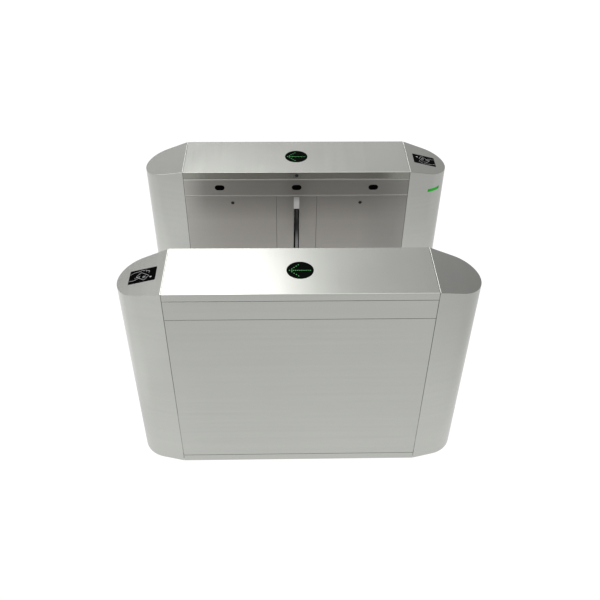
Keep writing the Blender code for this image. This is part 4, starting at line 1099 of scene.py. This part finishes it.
# %% floor
FLOOR_HALF = 40.0
FLOOR_WHITE, FLOOR_GLOW = 1.05, 0.74
LEFT_PATCH, LEFT_PATCH_FROM, LEFT_PATCH_WIDTH = 0.15, 1.0, 0.06
BEHIND_LIGHT, BEHIND_FROM, BEHIND_WIDTH = 0.12, -0.25, 0.06
BESIDE_FROM, BESIDE_WIDTH, BESIDE_RIGHT = 0.86, 0.04, 0.55
FOOT_PATCH, FOOT_PATCH_FROM, FOOT_PATCH_WIDTH = 0.07, 0.52, 0.06
FOOT_PATCH_NEAR, FOOT_PATCH_FAR = (-1.0, 0.12), (0.45, 0.04)
RIGHT_DIM, RIGHT_DIM_FROM, RIGHT_DIM_TO = 0.18, 0.8, 1.5


def floor_surface():
    """White for the camera, and a mild even glow for all that it lights."""
    paint = Paint("floor_pale")
    seen = paint.node("ShaderNodeLightPath", output="Is Camera Ray")
    place = paint.place()
    drift = paint.noise(place, 0.8, 2.0)
    x, y = paint.part_of(place, "X"), paint.part_of(place, "Y")
    patch = (-x).soft_rise(LEFT_PATCH_FROM, LEFT_PATCH_WIDTH) * LEFT_PATCH
    behind = y.soft_rise(BEHIND_FROM, BEHIND_WIDTH)
    left = (-x).soft_rise(BESIDE_FROM, BESIDE_WIDTH)
    right = x.soft_rise(BESIDE_FROM, BESIDE_WIDTH) * BESIDE_RIGHT
    beside = (left + right) * behind * BEHIND_LIGHT
    foot = (-x).soft_rise(FOOT_PATCH_FROM, FOOT_PATCH_WIDTH) * FOOT_PATCH
    foot = foot * y.soft_rise(*FOOT_PATCH_NEAR) * (-y).soft_rise(*FOOT_PATCH_FAR)
    dim = x.ramp(RIGHT_DIM_FROM, RIGHT_DIM_TO) * RIGHT_DIM
    glow = FLOOR_GLOW * (0.98 + drift * 0.04 + patch + beside + foot - dim)
    level = glow + seen * (FLOOR_WHITE - glow)
    surface = paint.node("ShaderNodeEmission", inputs={"Color": WHITE, "Strength": level})
    ending = paint.tree.nodes["Material Output"]
    paint.tree.links.new(surface.socket, ending.inputs["Surface"])
    paint.tree.nodes.remove(paint.shader)
    return paint.material


sheet = bpy.data.meshes.new("floor")
corners = ((-1, -1), (1, -1), (1, 1), (-1, 1))
sheet.from_pydata([(a * FLOOR_HALF, b * FLOOR_HALF, 0) for a, b in corners], [], [(0, 1, 2, 3)])
sheet.materials.append(floor_surface())
floor = bpy.data.objects.new("floor", sheet)
bpy.context.scene.collection.objects.link(floor)
print("floor:", 2 * FLOOR_HALF, "m wide")

# %% sky
SKY_LEVEL, SKY_TO_RIGHT, SKY_TO_SIDES = 0.522, -0.205, -0.446
SKY_DIMMEST, SKY_WHITE = 0.25, 1.05
BACK_LIGHT, BACK_FROM, BACK_WIDTH = 0.8, 0.25, 0.05
BANK_LIGHT = 3.33
BANK_RIGHT, BANK_RIGHT_WIDTH = 0.027, 0.033
BANK_LOW, BANK_LOW_WIDTH = 0.586, 0.0153
BANK_NEAR, BANK_NEAR_WIDTH = 0.30, 0.04
HAZE_LIGHT, HAZE_SHARPNESS = 0.183, 9.35
TOP_LIGHT, TOP_FROM, TOP_WIDTH = 1.6, 0.90, 0.02
HAZE_TURN, HAZE_RISE = math.radians(-1.8), math.radians(16.3)


def heading(turn, rise):
    """A direction from a turn to the right of +Y and a rise, in radians."""
    level_share = math.cos(rise)
    return Vector((level_share * math.sin(turn), level_share * math.cos(turn), math.sin(rise)))


world = bpy.data.worlds.new("studio")
world.use_nodes = True
sky = Shading(world.node_tree)
# In the sky's tree, Position is the direction that a ray looks in.
looking = sky.node("ShaderNodeNewGeometry", output="Position")
to_right, ahead, rise = [sky.part_of(looking, axis) for axis in "XYZ"]
wash = SKY_LEVEL + to_right * SKY_TO_RIGHT + to_right * to_right * SKY_TO_SIDES
bank = (-to_right).soft_rise(BANK_RIGHT, BANK_RIGHT_WIDTH)
bank = bank * rise.soft_rise(BANK_LOW, BANK_LOW_WIDTH)
bank = bank * ahead.soft_rise(BANK_NEAR, BANK_NEAR_WIDTH) * BANK_LIGHT
toward = sky.node("ShaderNodeVectorMath", {"operation": "DOT_PRODUCT"},
                  {0: looking, 1: heading(HAZE_TURN, HAZE_RISE)}, output="Value")
haze = HAZE_LIGHT * toward.math("MAXIMUM", toward, 0.0) ** HAZE_SHARPNESS
background = world.node_tree.nodes["Background"]
top = TOP_LIGHT * rise.soft_rise(TOP_FROM, TOP_WIDTH)
back = BACK_LIGHT * rise.soft_rise(BACK_FROM, BACK_WIDTH)
top = top + back * (-ahead).soft_rise(BACK_FROM, BACK_WIDTH)
light = wash.math("MAXIMUM", wash, SKY_DIMMEST) + bank + haze + top
seen = sky.node("ShaderNodeLightPath", output="Is Camera Ray")
put(sky.tree, background.inputs["Strength"], light + seen * (SKY_WHITE - light))
background.inputs["Color"].default_value = WHITE
bpy.context.scene.world = world
print("sky nodes:", len(world.node_tree.nodes))

# %% one softbox in front, for what isn't polished
SOFTBOX_PLACE, SOFTBOX_AIM = Vector((-1.6, -3.2, 3.4)), Vector((0.0, 0.0, 0.5))
SOFTBOX_SIZE, SOFTBOX_WATTS = 1.6, 30.0
panel = bpy.data.lights.new("softbox_front", "AREA")
panel.size = SOFTBOX_SIZE
panel.energy = SOFTBOX_WATTS
softbox = bpy.data.objects.new("softbox_front", panel)
aimed = (SOFTBOX_AIM - SOFTBOX_PLACE).to_track_quat("-Z", "Y").to_matrix().to_4x4()
softbox.matrix_world = Matrix.Translation(SOFTBOX_PLACE) @ aimed
softbox.visible_camera = False
bpy.context.scene.collection.objects.link(softbox)

look = bpy.context.scene.view_settings
look.view_transform = "Standard"
look.look = "None"
look.exposure = 0.0
print("softbox watts:", SOFTBOX_WATTS)

# %% [markdown]
